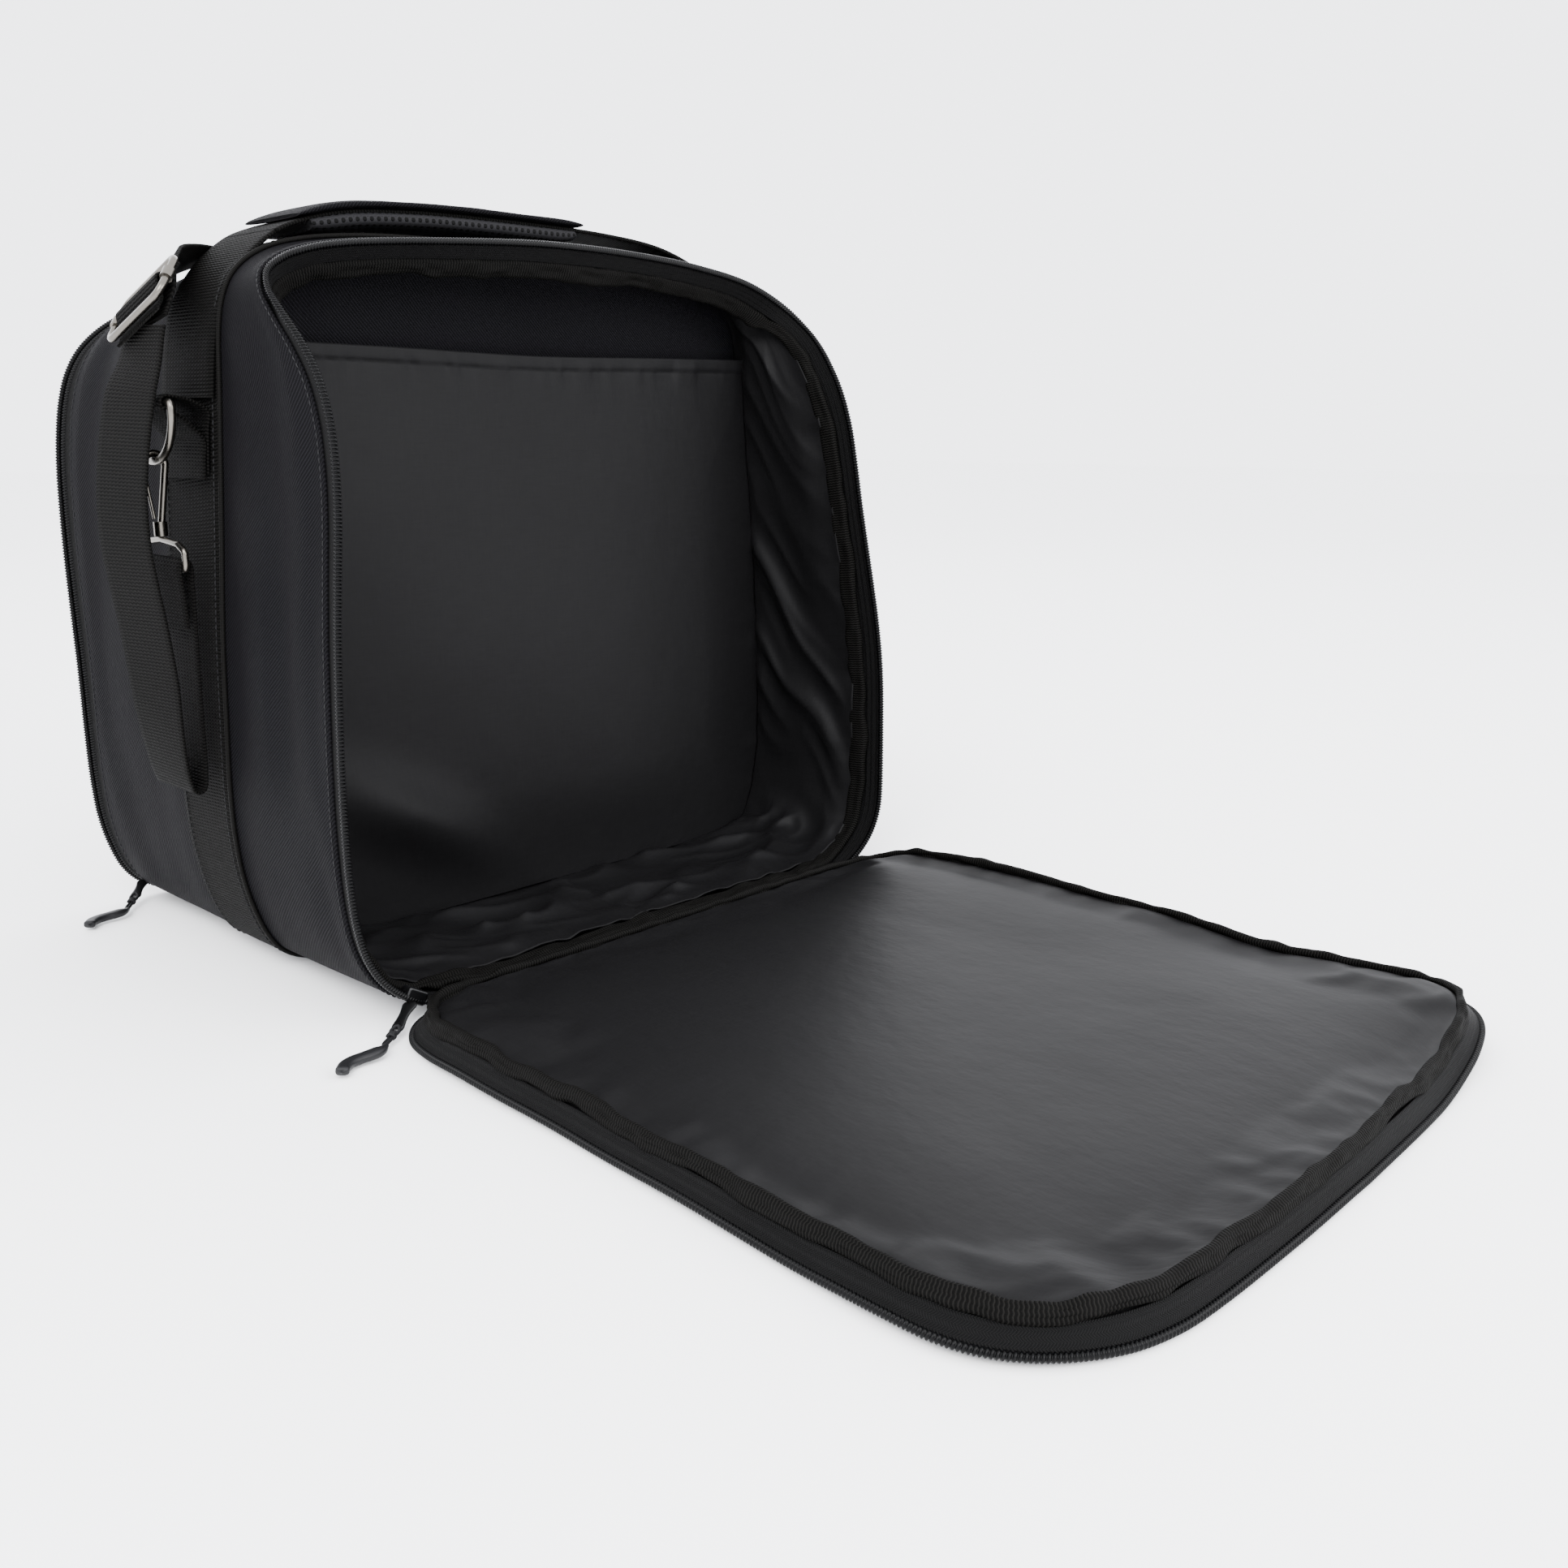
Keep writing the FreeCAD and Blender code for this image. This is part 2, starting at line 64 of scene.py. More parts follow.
def box_mm(node):
    low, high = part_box(node)
    return np.array(low) / MM, np.array(high) / MM


def joint_mm(name):
    joint = next(j for j in frame["joints"] if j["name"] == name)
    return np.array(joint["pos_m"]) / MM


RIM = box_mm("front_body_coil")[0][1] + 2.8
REAR_RIM = -RIM
BELT_LOW, BELT_HIGH = box_mm("belt_webbing")
MID = (BELT_LOW[1] + BELT_HIGH[1]) / 2
DIVIDER_FRONT, DIVIDER_REAR = (corner[1] for corner in box_mm("divider_panel"))
POCKET_LOW, POCKET_HIGH = box_mm("divider_pocket")
HINGE = joint_mm("front_door_hinge")
FLEX = joint_mm("front_door_flex")
KINK = HINGE[2] + HINGE[1] - FLEX[1]
FOLD_HALF = 120.0  # half the width of the fabric hinges
TOOTH = 1.5  # zip tooth pitch


# ---- camera, floor and light

def add_camera():
    """Stands at the front left, a little above the bag's middle, looking slightly down."""
    data = bpy.data.cameras.new("camera")
    camera = bpy.data.objects.new("camera", data)
    bpy.context.scene.collection.objects.link(camera)
    data.sensor_width = 36.0
    data.lens = 33.4
    camera.location = (-0.480, -0.673, 0.261)
    yaw, pitch = math.radians(46.52), math.radians(13.92)
    look = Vector((math.sin(yaw) * math.cos(pitch), math.cos(yaw) * math.cos(pitch), -math.sin(pitch)))
    camera.rotation_euler = look.to_track_quat("-Z", "Y").to_euler()
    data.clip_start = 0.01
    bpy.context.scene.camera = camera


def add_area(name, place, target, size, power):
    data = bpy.data.lights.new(name, "AREA")
    data.shape = "RECTANGLE"
    data.size, data.size_y = size
    data.energy = power
    lamp = bpy.data.objects.new(name, data)
    lamp.location = place
    lamp.rotation_euler = (Vector(target) - Vector(place)).to_track_quat("-Z", "Y").to_euler()
    bpy.context.scene.collection.objects.link(lamp)


def add_studio():
    """A pale sweep of floor, a bright surround and three large soft lamps."""
    mesh = bpy.data.meshes.new("floor")
    reach = 8.0
    corners = [(-reach, -reach, 0), (reach, -reach, 0), (reach, reach, 0), (-reach, reach, 0)]
    mesh.from_pydata(corners, [], [(0, 1, 2, 3)])
    floor = bpy.data.objects.new("floor", mesh)
    floor.location.z = -0.0006
    bpy.context.scene.collection.objects.link(floor)
    mesh.materials.append(Nodes("floor_paint").shader((0.97, 0.97, 0.97), 0.6, 0.2)[1])
    world = bpy.data.worlds.new("surround")
    world.use_nodes = True
    background = world.node_tree.nodes["Background"]
    background.inputs["Color"].default_value = (0.95, 0.96, 1.0, 1.0)
    background.inputs["Strength"].default_value = 4.2
    bpy.context.scene.world = world
    add_area("key", (-1.5, -1.2, 1.9), (0.0, -0.1, 0.1), (1.4, 1.4), 95)
    add_area("front_fill", (0.6, -2.4, 1.2), (0.0, -0.2, 0.1), (1.8, 1.2), 60)
    add_area("back_rim", (1.4, 1.3, 1.7), (0.0, 0.0, 0.2), (1.4, 1.0), 12)


# ---- materials

class Nodes:
    """A material built node by node, with the weave coordinates in metres along and across the cloth."""

    def __init__(self, name):
        self.name = name
        self.material = bpy.data.materials.new(name)
        self.material.use_nodes = True
        self.tree = self.material.node_tree
        self.tree.nodes.clear()
        self.out = self.tree.nodes.new("ShaderNodeOutputMaterial")

    def add(self, kind, settings=None, **inputs):
        """A new node; an input is named, or numbered as i0, i1 and so on."""
        node = self.tree.nodes.new(kind)
        for key, value in (settings or {}).items():
            setattr(node, key, value)
        for key, value in inputs.items():
            self.put(node, int(key[1:]) if key[1:].isdigit() else key, value)
        return node

    def put(self, node, key, value):
        if isinstance(value, bpy.types.NodeSocket):
            self.tree.links.new(value, node.inputs[key])
        else:
            node.inputs[key].default_value = value

    def math(self, operation, a, b=0.0, c=0.5, clamp=False):
        settings = {"operation": operation, "use_clamp": clamp}
        return self.add("ShaderNodeMath", settings, i0=a, i1=b, i2=c).outputs[0]

    def spread(self, value, size, low):
        """A share of 0..1 turned into low and up by size."""
        return self.math("MULTIPLY_ADD", value, size, low)

    def total(self, *terms, clamp=False):
        """The sum of values times their weights."""
        result = self.math("MULTIPLY", *terms[0])
        for value, weight in terms[1:]:
            result = self.math("MULTIPLY_ADD", value, weight, result, clamp)
        return result

    def weave(self):
        """The cloth's own coordinates: x along it and y across it, in metres."""
        uv = self.add("ShaderNodeUVMap", {"uv_map": "weave"})
        parts = self.add("ShaderNodeSeparateXYZ", i0=uv.outputs[0])
        return uv.outputs[0], parts.outputs[0], parts.outputs[1]

    def wave(self, value, pitch):
        """0..1 ripple along a length in metres."""
        return self.spread(self.math("SINE", self.math("MULTIPLY", value, 2 * math.pi / pitch)), 0.5, 0.5)

    def noise(self, coords, scale, detail=2.0, rough=0.5):
        """0..1 noise; a scale of three numbers stretches it."""
        if isinstance(scale, tuple):
            coords, scale = self.add("ShaderNodeMapping", Vector=coords, Scale=scale).outputs[0], 1.0
        node = self.add("ShaderNodeTexNoise", Vector=coords, Scale=scale, Detail=detail, Roughness=rough)
        return node.outputs["Fac"]

    def mix(self, factor, dark, light):
        node = self.add("ShaderNodeMix", {"data_type": "RGBA"}, i0=factor, i6=(*dark, 1.0), i7=(*light, 1.0))
        return node.outputs[2]

    def bump(self, height, distance, strength=0.9, **under):
        return self.add("ShaderNodeBump", Height=height, Distance=distance, Strength=strength, **under).outputs[0]

    def shader(self, base, rough, specular, metallic=0.0, **normal):
        node = self.add("ShaderNodeBsdfPrincipled", Roughness=rough, Metallic=metallic, **normal)
        self.put(node, "Base Color", (*base, 1.0) if isinstance(base, tuple) else base)
        node.inputs["Specular IOR Level"].default_value = specular
        self.tree.links.new(node.outputs[0], self.out.inputs["Surface"])
        return self.name, self.material


def twill():
    """Charcoal polyester twill: fine diagonal ribs over heathered yarn."""
    n = Nodes("outer_twill")
    cloth, along, across = n.weave()
    rib = n.wave(n.math("ADD", along, across), 0.0019)
    yarn = n.wave(n.math("SUBTRACT", along, across), 0.0011)
    mottle = n.noise(cloth, (700, 420, 1), 3)
    tone = n.total((n.math("POWER", rib, 1.6), 0.75), (mottle, 0.35), (n.noise(cloth, 14.0), 0.12), clamp=True)
    return n.shader(n.mix(tone, (0.0004, 0.0004, 0.0005), (0.0058, 0.0055, 0.0067)), n.spread(mottle, 0.16, 0.6),
        0.03, Normal=n.bump(n.total((rib, 1.0), (yarn, 0.3)), 0.0004))


def satin():
    """Black lining with a soft shine, faint slubs and fine creasing."""
    n = Nodes("satin_lining")
    cloth = n.weave()[0]
    slubs = n.total((n.noise(cloth, (60, 2200, 1)), 0.5), (n.noise(cloth, (2200, 60, 1)), 0.5))
    crease = n.noise(cloth, (26, 40, 1), 4, 0.6)
    normal = n.bump(crease, 0.0010, 0.55, Normal=n.bump(slubs, 0.00005, 0.6))
    return n.shader(n.mix(slubs, (0.0019, 0.0018, 0.0019), (0.0056, 0.0055, 0.0059)),
        n.spread(n.noise(cloth, 9.0), 0.10, 0.46), 0.06, Normal=normal)


def ribbed(name, rib_pitch, cord_pitch, depth, dark, light, rough, specular):
    """Woven webbing or binding: bold ribs across it, faint cords along it."""
    n = Nodes(name)
    cloth, along, across = n.weave()
    cord = n.wave(across, cord_pitch)
    rib = n.wave(n.math("MULTIPLY_ADD", cord, rib_pitch * 0.18, along), rib_pitch)
    fuzz = n.noise(cloth, 2600.0)
    tone = n.total((n.math("POWER", rib, 1.5), 0.8), (fuzz, 0.3), clamp=True)
    return n.shader(n.mix(tone, dark, light), n.spread(fuzz, 0.12, rough), specular,
        Normal=n.bump(n.total((rib, 0.9), (cord, 0.1)), depth))


def herringbone():
    """Zip tape woven in narrow zigzag stripes."""
    n = Nodes("zip_tape")
    cloth, along, across = n.weave()
    rib = n.wave(n.math("ADD", along, n.math("PINGPONG", across, 0.0016)), 0.0010)
    fuzz = n.noise(cloth, 2400.0)
    tone = n.total((rib, 0.6), (fuzz, 0.4), clamp=True)
    return n.shader(n.mix(tone, (0.0004, 0.0004, 0.0005), (0.0042, 0.0041, 0.0041)), n.spread(fuzz, 0.15, 0.6), 0.06,
        Normal=n.bump(n.total((rib, 1.0), (n.wave(across, 0.0016), 0.5)), 0.0003))


def moulded(name, dark, light, rough, specular, grain=900.0, depth=0.00002, metallic=0.0):
    """A solid material with a slight mottle and grain in the piece's own coordinates."""
    n = Nodes(name)
    place = n.add("ShaderNodeTexCoord").outputs["Object"]
    fine, broad = n.noise(place, grain, 3), n.noise(place, 60.0, 3)
    return n.shader(n.mix(n.total((fine, 0.5), (broad, 0.5)), dark, light), n.spread(broad, 0.12, rough), specular,
        metallic, Normal=n.bump(fine, depth, 0.6))


def air_mesh():
    """Spacer mesh: rows of small oval openings, with the shade inside them painted near-black."""
    n = Nodes("air_mesh")
    cloth, along, across = n.weave()
    pitch = 0.0038
    row = n.math("MULTIPLY", n.math("GREATER_THAN", n.wave(across, 2 * pitch), 0.5), pitch / 2)
    hole = n.math("MULTIPLY", n.wave(n.math("ADD", along, row), pitch), n.wave(across, pitch))
    openings_and_painted_shade = n.add("ShaderNodeMapRange", Value=hole, i1=0.35, i2=0.6).outputs[0]
    fuzz = n.noise(cloth, 1800.0)
    # Painted shade: the openings are coloured near-black for the shade inside them; the same mask also sinks them in
    # the bump.
    tone = n.math("MULTIPLY", n.math("SUBTRACT", 1.0, openings_and_painted_shade), n.math("ADD", fuzz, 0.3), clamp=True)
    return n.shader(n.mix(tone, (0.0002, 0.0002, 0.0002), (0.0125, 0.0122, 0.0135)), n.spread(fuzz, 0.1, 0.65), 0.08,
        Normal=n.bump(openings_and_painted_shade, 0.0006, 1.0))


def twisted(name, pitch, slant, dark, light, rough, depth):
    """Cord or thread: strands running slantwise round it."""
    n = Nodes(name)
    cloth, along, across = n.weave()
    one, other = (n.wave(n.math("MULTIPLY_ADD", across, way * slant, along), pitch) for way in (1, -1))
    strands = n.math("MAXIMUM", one, other)
    fuzz = n.noise(cloth, 3000.0)
    tone = n.math("MULTIPLY", strands, n.math("ADD", fuzz, 0.4), clamp=True)
    return n.shader(n.mix(tone, dark, light), n.spread(fuzz, 0.15, rough), 0.15, Normal=n.bump(strands, depth))


def make_materials():
    """The materials by the name of the record's slot that each one stands for, and the thread."""
    black, dull = (0.0003, 0.0003, 0.0003), (0.0058, 0.0055, 0.0050)
    made = [twill(), satin(), herringbone(), air_mesh(),
        ribbed("webbing", 0.0016, 0.0030, 0.0007, (0.0002, 0.0002, 0.0002), (0.0052, 0.0050, 0.0046), 0.65, 0.03),
        ribbed("woven_binding", 0.0014, 0.0022, 0.0006, black, dull, 0.6, 0.03),
        ribbed("piping", 0.0008, 0.0008, 0.0002, black, dull, 0.55, 0.04),
        moulded("zip_coil", (0.0003, 0.0003, 0.0004), (0.0012, 0.0012, 0.0014), 0.25, 0.09),
        moulded("nickel", (0.085, 0.079, 0.069), (0.14, 0.13, 0.115), 0.22, 0.5, 500.0, 0.00001, 1.0),
        moulded("black_metal", (0.0012, 0.0012, 0.0014), (0.003, 0.003, 0.0032), 0.24, 0.25),
        moulded("grip_rubber", (0.003, 0.003, 0.0034), (0.007, 0.007, 0.0078), 0.4, 0.2),
        twisted("pull_cord", 0.0014, 1.0, black, (0.008, 0.008, 0.009), 0.55, 0.0001),
        twisted("thread", 0.0007, 0.8, (0.001, 0.001, 0.0012), (0.009, 0.009, 0.010), 0.5, 0.00005),]
    return dict(made)


# ---- meshes from arrays of points

def stack(*parts):
    return np.stack(parts, -1)


def lengths_along(points, wrap):
    """Running distance down the first axis of a grid, averaged over the second."""
    following = np.roll(points, -1, 0) if wrap else points[1:]
    steps = norm(following - points[:len(following)], axis=-1).mean(axis=1)
    return np.concatenate([[0.0], np.cumsum(steps)])


def grid_faces(n, m, wrap_n, wrap_m):
    """Quads over a grid of points, and the row and column of each of their corners."""
    i = np.arange(n if wrap_n else n - 1)[:, None]
    j = np.arange(m if wrap_m else m - 1)[None, :]
    i2, j2 = (i + 1) % n, (j + 1) % m
    quads = stack(i * m + j, i2 * m + j, i2 * m + j2, i * m + j2).reshape(-1, 4)
    a = np.broadcast_to(np.stack(np.broadcast_arrays(i, i + 1, i + 1, i), -1), (i.size, j.size, 4)).reshape(-1, 4)
    b = np.broadcast_to(np.stack(np.broadcast_arrays(j, j, j + 1, j + 1), -1), (i.size, j.size, 4)).reshape(-1, 4)
    return quads, a, b


def new_mesh(points, faces, uvs):
    mesh = bpy.data.meshes.new("cloth")
    mesh.from_pydata((np.asarray(points).reshape(-1, 3) * MM).tolist(), [], faces)
    layer = mesh.uv_layers.new(name="weave")
    layer.data.foreach_set("uv", (np.asarray(uvs, float).reshape(-1) * MM).astype(np.float32))
    mesh.polygons.foreach_set("use_smooth", [True] * len(mesh.polygons))
    mesh.update()
    return mesh


def skin(rings, along=False):
    """A tube through an array of points [section, point round it, xyz], with its ends capped or joined."""
    n, m, _ = rings.shape
    u, v = lengths_along(rings, along), lengths_along(rings.transpose(1, 0, 2), True)
    quads, a, b = grid_faces(n, m, along, True)
    faces = quads[:, ::-1].tolist()
    uvs = stack(u[a], v[b])[:, ::-1].reshape(-1, 2).tolist()
    if not along:
        for ring, order in ((0, range(m)), (n - 1, range(m - 1, -1, -1))):
            faces.append([ring * m + k for k in order])
            uvs += [[u[ring], v[k]] for k in order]
    return new_mesh(rings, faces, uvs)


def closed_mesh(face, back, wrap=False):
    """A closed body between a face and a back that have the same grid."""
    n, m, _ = face.shape
    count = n * m
    u, v = lengths_along(face, wrap), lengths_along(face.transpose(1, 0, 2), False)
    quads, a, b = grid_faces(n, m, wrap, False)
    uv = stack(u[a], v[b])
    faces = quads.tolist() + (quads[:, ::-1] + count).tolist()
    uvs = uv.reshape(-1, 2).tolist() + uv[:, ::-1].reshape(-1, 2).tolist()

    def rim(cells, closed=False):
        for (i, j), (k, q) in zip(cells, cells[1:] + cells[:1] if closed else cells[1:]):
            faces.append([i * m + j, i * m + j + count, k * m + q + count, k * m + q])
            uvs.extend([[u[i], v[j]]] * 2 + [[u[k], v[q]]] * 2)

    rim([(i, 0) for i in range(n)], wrap)
    rim([(i, m - 1) for i in reversed(range(n))], wrap)
    if not wrap:
        rim([(0, j) for j in reversed(range(m))])
        rim([(n - 1, j) for j in range(m)])
    return new_mesh(np.concatenate([face.reshape(-1, 3), back.reshape(-1, 3)]), faces, uvs)


def grid_normals(points, wrap=False):
    down = np.roll(points, -1, 0) - np.roll(points, 1, 0) if wrap else np.gradient(points, axis=0)
    return unit(np.cross(down, np.gradient(points, axis=1)))


def slab(points, thick, wrap=False):
    """A sheet of cloth with real thickness: points are its face, and its back lies thick behind."""
    return closed_mesh(points, points - grid_normals(points, wrap) * thick, wrap)


def piece(name, mesh, material, body=None, bend=None, stands_for=()):
    """Puts a mesh into the scene on a body; where a bend between two bodies is given it is only baked in place, and the
    bend itself is not applied. Only thread has no slot in the record.
    """
    mesh.name = name
    obj = bpy.data.objects.new(name, mesh)
    bpy.context.scene.collection.objects.link(obj)
    mesh.materials.append(MATERIALS[material])
    if bend:
        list(bend)
        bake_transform(obj)
    else:
        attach(obj, body)
    if stands_for:
        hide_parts(*stands_for)
    return obj


# ---- the bag's rounded shape

# Half outlines from the middle of the floor up the left side to the middle of the top, as (half width, height).
# The front rim also has its y: its upper corners are drawn back.
FRONT_RIM_HALF = [(0, -130, 1.5), (60, -130, 1.5), (118, -130, 1.6), (136, -130, 2.8), (150, -130, 7.0),
    (161, -130.5, 14.5), (169.5, -130.8, 24.0), (175.5, -130.8, 36.0), (178.8, -130, 51.0), (180, -129, 70),
    (180, -128.2, 89), (179.4, -127.4, 109), (178, -126.2, 131), (176, -124.6, 153), (173.5, -122.6, 175),
    (170.6, -120.8, 197), (167.7, -119.1, 219), (165.6, -117.2, 240.5), (164.4, -114.2, 260.6), (164.2, -108, 278.6),
    (165.2, -98.5, 293.4), (166.6, -87.5, 305.8), (166, -76.5, 316.4), (160.6, -67.6, 326), (150, -63.4, 333),
    (135.3, -62.6, 338.2), (119, -63.2, 341.3), (100, -64.4, 343.4), (75, -67, 345.3), (45, -70, 346.6),
    (20, -71.6, 347.2), (0, -72, 347.3)]
BELT_HALF = [(0, 1.5), (60, 1.5), (118, 1.5), (138, 2.0), (150, 4.6), (158.6, 10), (165.1, 20), (169.6, 33),
    (172.9, 48.3), (175.4, 70), (176.2, 90), (176, 110), (175.4, 132), (174.6, 155), (173.3, 180), (171.6, 205),
    (170, 226), (168.3, 247), (166.8, 263), (165.2, 278), (163.4, 292.5), (161, 304), (157.6, 314), (152.4, 323.4),
    (145, 331.2), (134, 337.6), (118, 342), (98, 344.6), (60, 346.6), (0, 347.4)]
REAR_RIM_HALF = [(0, 1.5), (60, 1.5), (118, 1.6), (138, 2.4), (152, 6.0), (161, 11.5), (168, 20.5), (173, 34),
    (176.2, 50), (177.8, 71), (178.4, 98), (178.4, 130), (178.4, 160), (178.2, 190), (177.6, 215), (176.6, 237),
    (174.8, 255), (172, 271), (167.6, 285), (160.6, 297), (150.6, 307), (137, 315.6), (118, 322.4), (95, 327),
    (60, 330.4), (0, 332)]
DOOR_HALF = [(0, 1.5), (60, 1.5), (116, 1.6), (136, 3.0), (150, 7.0), (160, 14.5), (167.5, 26), (172, 44),
    (174.4, 70), (175.2, 110), (175, 140), (175.8, 175), (177.2, 209), (178.6, 243), (180.2, 274), (181, 301),
    (180, 319), (176, 332), (168.5, 343.5), (157.5, 353.5), (143, 361.5), (124, 366.6), (100, 369), (60, 371),
    (0, 372)]


def ease(value, low=0.0, high=1.0):
    t = np.clip((np.asarray(value, float) - low) / (high - low), 0.0, 1.0)
    return t * t * (3 - 2 * t)


def field(seed, *coords):
    """Smooth value noise in -1..1 over two or three coordinates, one cell per unit."""
    coords = np.stack(np.broadcast_arrays(*[np.asarray(c, float) for c in coords]), -1)
    table = np.random.default_rng(seed).uniform(-1, 1, 4096)
    cell = np.floor(coords).astype(int)
    t = ease(coords - cell)
    dims = coords.shape[-1]
    total = 0.0
    for corner in range(2 ** dims):
        weight, key = 1.0, 0
        for d in range(dims):
            bit = (corner >> d) & 1
            weight = weight * (t[..., d] if bit else 1 - t[..., d])
            key = key * 131 + (cell[..., d] + bit) * 7919
        total = total + weight * table[(key ^ (key >> 7)) % 4096]
    return total


def folds(seed, *coords, octaves=3):
    """Ridged noise in 0..1: sharp crests with broad hollows, like creased cloth."""
    total, size, weight = 0.0, 1.0, 0.0
    for k in range(octaves):
        total = total + size * (1 - np.abs(field(seed + k, *[np.asarray(c, float) * 2.0 ** k for c in coords])))
        weight += size
        size *= 0.5
    return total / weight


def smooth_path(points, spacing=4.0):
    """Evenly spaced points on a smooth curve through the given ones."""
    p = np.asarray(points, float)
    p = np.concatenate([[2 * p[0] - p[1]], p, [2 * p[-1] - p[-2]]])
    fine = []
    for a, b, c, d in zip(p, p[1:], p[2:], p[3:]):
        k1 = norm(b - a) ** 0.5
        k2 = k1 + norm(c - b) ** 0.5
        k3 = k2 + norm(d - c) ** 0.5
        t = np.linspace(k1, k2, 24)[:-1, None]
        ab = (k1 - t) / k1 * a + t / k1 * b
        bc = (k2 - t) / (k2 - k1) * b + (t - k1) / (k2 - k1) * c
        cd = (k3 - t) / (k3 - k2) * c + (t - k2) / (k3 - k2) * d
        abc = (k2 - t) / k2 * ab + t / k2 * bc
        bcd = (k3 - t) / (k3 - k1) * bc + (t - k1) / (k3 - k1) * cd
        fine.append((k2 - t) / (k2 - k1) * abc + (t - k1) / (k2 - k1) * bcd)
    fine.append(p[-2][None])
    return resample(np.concatenate(fine), spacing)[0]


def resample(path, spacing, closed=False):
    """Evenly spaced points along a polyline, and how far each lies along it."""
    path = np.asarray(path, float)
    if closed:
        path = np.concatenate([path, path[:1]])
    run = np.concatenate([[0.0], np.cumsum(norm(np.diff(path, axis=0), axis=1))])
    count = max(2, int(round(run[-1] / spacing)))
    at = np.linspace(0, run[-1], count + 1)[:-1] if closed else np.linspace(0, run[-1], count + 1)
    return stack(*[np.interp(at, run, path[:, k]) for k in range(3)]), at


class Outline:
    """A half outline with its inward direction, read at shares s of the whole way round."""

    def __init__(self, half, y):
        points = [(-p[0], p[1] if len(p) == 3 else y, p[-1]) for p in half]
        route = smooth_path(points, 1.0)
        before = route[1:8][::-1] * np.array([-1, 1, 1])
        after = route[-8:-1][::-1] * np.array([-1, 1, 1])
        longer = np.concatenate([before, route, after])
        kernel = np.hanning(11)[1:-1]
        kernel = kernel / kernel.sum()
        slope = np.gradient(longer, axis=0)
        slope = stack(*[np.convolve(slope[:, k], kernel, "same") for k in range(3)])[7:-7]
        inward = stack(slope[:, 2], 0 * slope[:, 1], -slope[:, 0])
        self.inward = inward / norm(inward, axis=1, keepdims=True)
        self.route = route
        self.share = np.linspace(0, 0.5, len(route))
        self.perimeter = 2 * norm(np.diff(route, axis=0), axis=1).sum()

    def read(self, s):
        s = np.asarray(s, float)
        left = s <= 0.5
        at = np.where(left, s, 1.0 - s)
        flip = np.where(left, 1.0, -1.0)
        p = stack(*[np.interp(at, self.share, self.route[:, k]) for k in range(3)])
        n = stack(*[np.interp(at, self.share, self.inward[:, k]) for k in range(3)])
        p[..., 0] *= flip
        n[..., 0] *= flip
        return p, n

    def at_width(self, x, low=True):
        """The share where the half width reaches x on its way out along the floor, or back in over the top."""
        half = -self.route[:, 0]
        if low:
            return self.share[int(np.argmax(half >= x))]
        return self.share[len(half) - 1 - int(np.argmax(half[::-1] >= x))]

    def at_height(self, z):
        return self.share[int(np.argmax(self.route[:, 2] >= z))]


FRONT = Outline(FRONT_RIM_HALF, RIM)
BELT = Outline(BELT_HALF, MID)
REAR = Outline(REAR_RIM_HALF, REAR_RIM)
DOOR = Outline(DOOR_HALF, 0.0)
PERIMETER = BELT.perimeter
FOLD_S = FRONT.at_width(FOLD_HALF)


def surface(s, y, inset=0.0):
    """Points of the gusset at given y, inset from its face: front rim, belt and rear rim joined by a smooth swell."""
    s, y, inset = np.broadcast_arrays(s, y, inset)
    (f, fn), (m, mn), (b, bn) = FRONT.read(s), BELT.read(s), REAR.read(s)
    u = np.clip((y - f[..., 1]) / (b[..., 1] - f[..., 1]), -0.03, 1.03)[..., None]
    middle = np.clip((MID - f[..., 1]) / (b[..., 1] - f[..., 1]), 0.2, 0.8)[..., None]
    wf = (u - middle) * (u - 1) / middle
    wb = u * (u - middle) / (1 - middle)
    wm = u * (u - 1) / (middle * (middle - 1))
    p = f * wf + m * wm + b * wb
    n = fn * wf + mn * wm + bn * wb
    n = n / norm(n, axis=-1, keepdims=True)
    p = p + n * inset[..., None]
    return stack(p[..., 0], y, p[..., 2])


def front_y(s):
    return FRONT.read(s)[0][..., 1]


def place(kind, s, inset, depth):
    """Points of a layer near a rim: depth is back from a body rim, or up from a door's outer face."""
    s, inset, depth = np.broadcast_arrays(s, inset, depth)
    if kind == "front_body":
        return surface(s, front_y(s) + depth, inset)
    if kind == "rear_body":
        return surface(s, REAR_RIM - depth, inset)
    p, n = (DOOR if kind == "front_door" else REAR).read(s)
    p = p + n * inset[..., None]
    if kind == "front_door":
        return stack(p[..., 0], HINGE[1] + HINGE[2] - p[..., 2], depth)
    return stack(p[..., 0], REAR_RIM + 6.4 - depth, p[..., 2])


HOLD = [(-1, 255.0), (1, 255.0)]


def settle(points):
    """The whole body's slight unevenness, shared by every layer so that they keep their order."""
    x, y, z = points[..., 0] / 85 + 7.3, points[..., 1] / 85 + 7.3, points[..., 2] / 85 + 7.3
    shift = stack(*[field(seed, x + off, y + off, z + off) for seed, off in ((11, 0), (12, 3.1), (13, 5.7))])
    still = 1.0
    for side, height in HOLD:
        gap = points - np.array([side * 172.0, MID, height])
        still = still * (1 - np.exp(-(gap ** 2).sum(-1) / (2 * 38.0 ** 2)))
    free = ease(points[..., 2], 4.0, 60.0) * still
    return points + shift * free[..., None] * np.array([1.1, 1.6, 1.3])


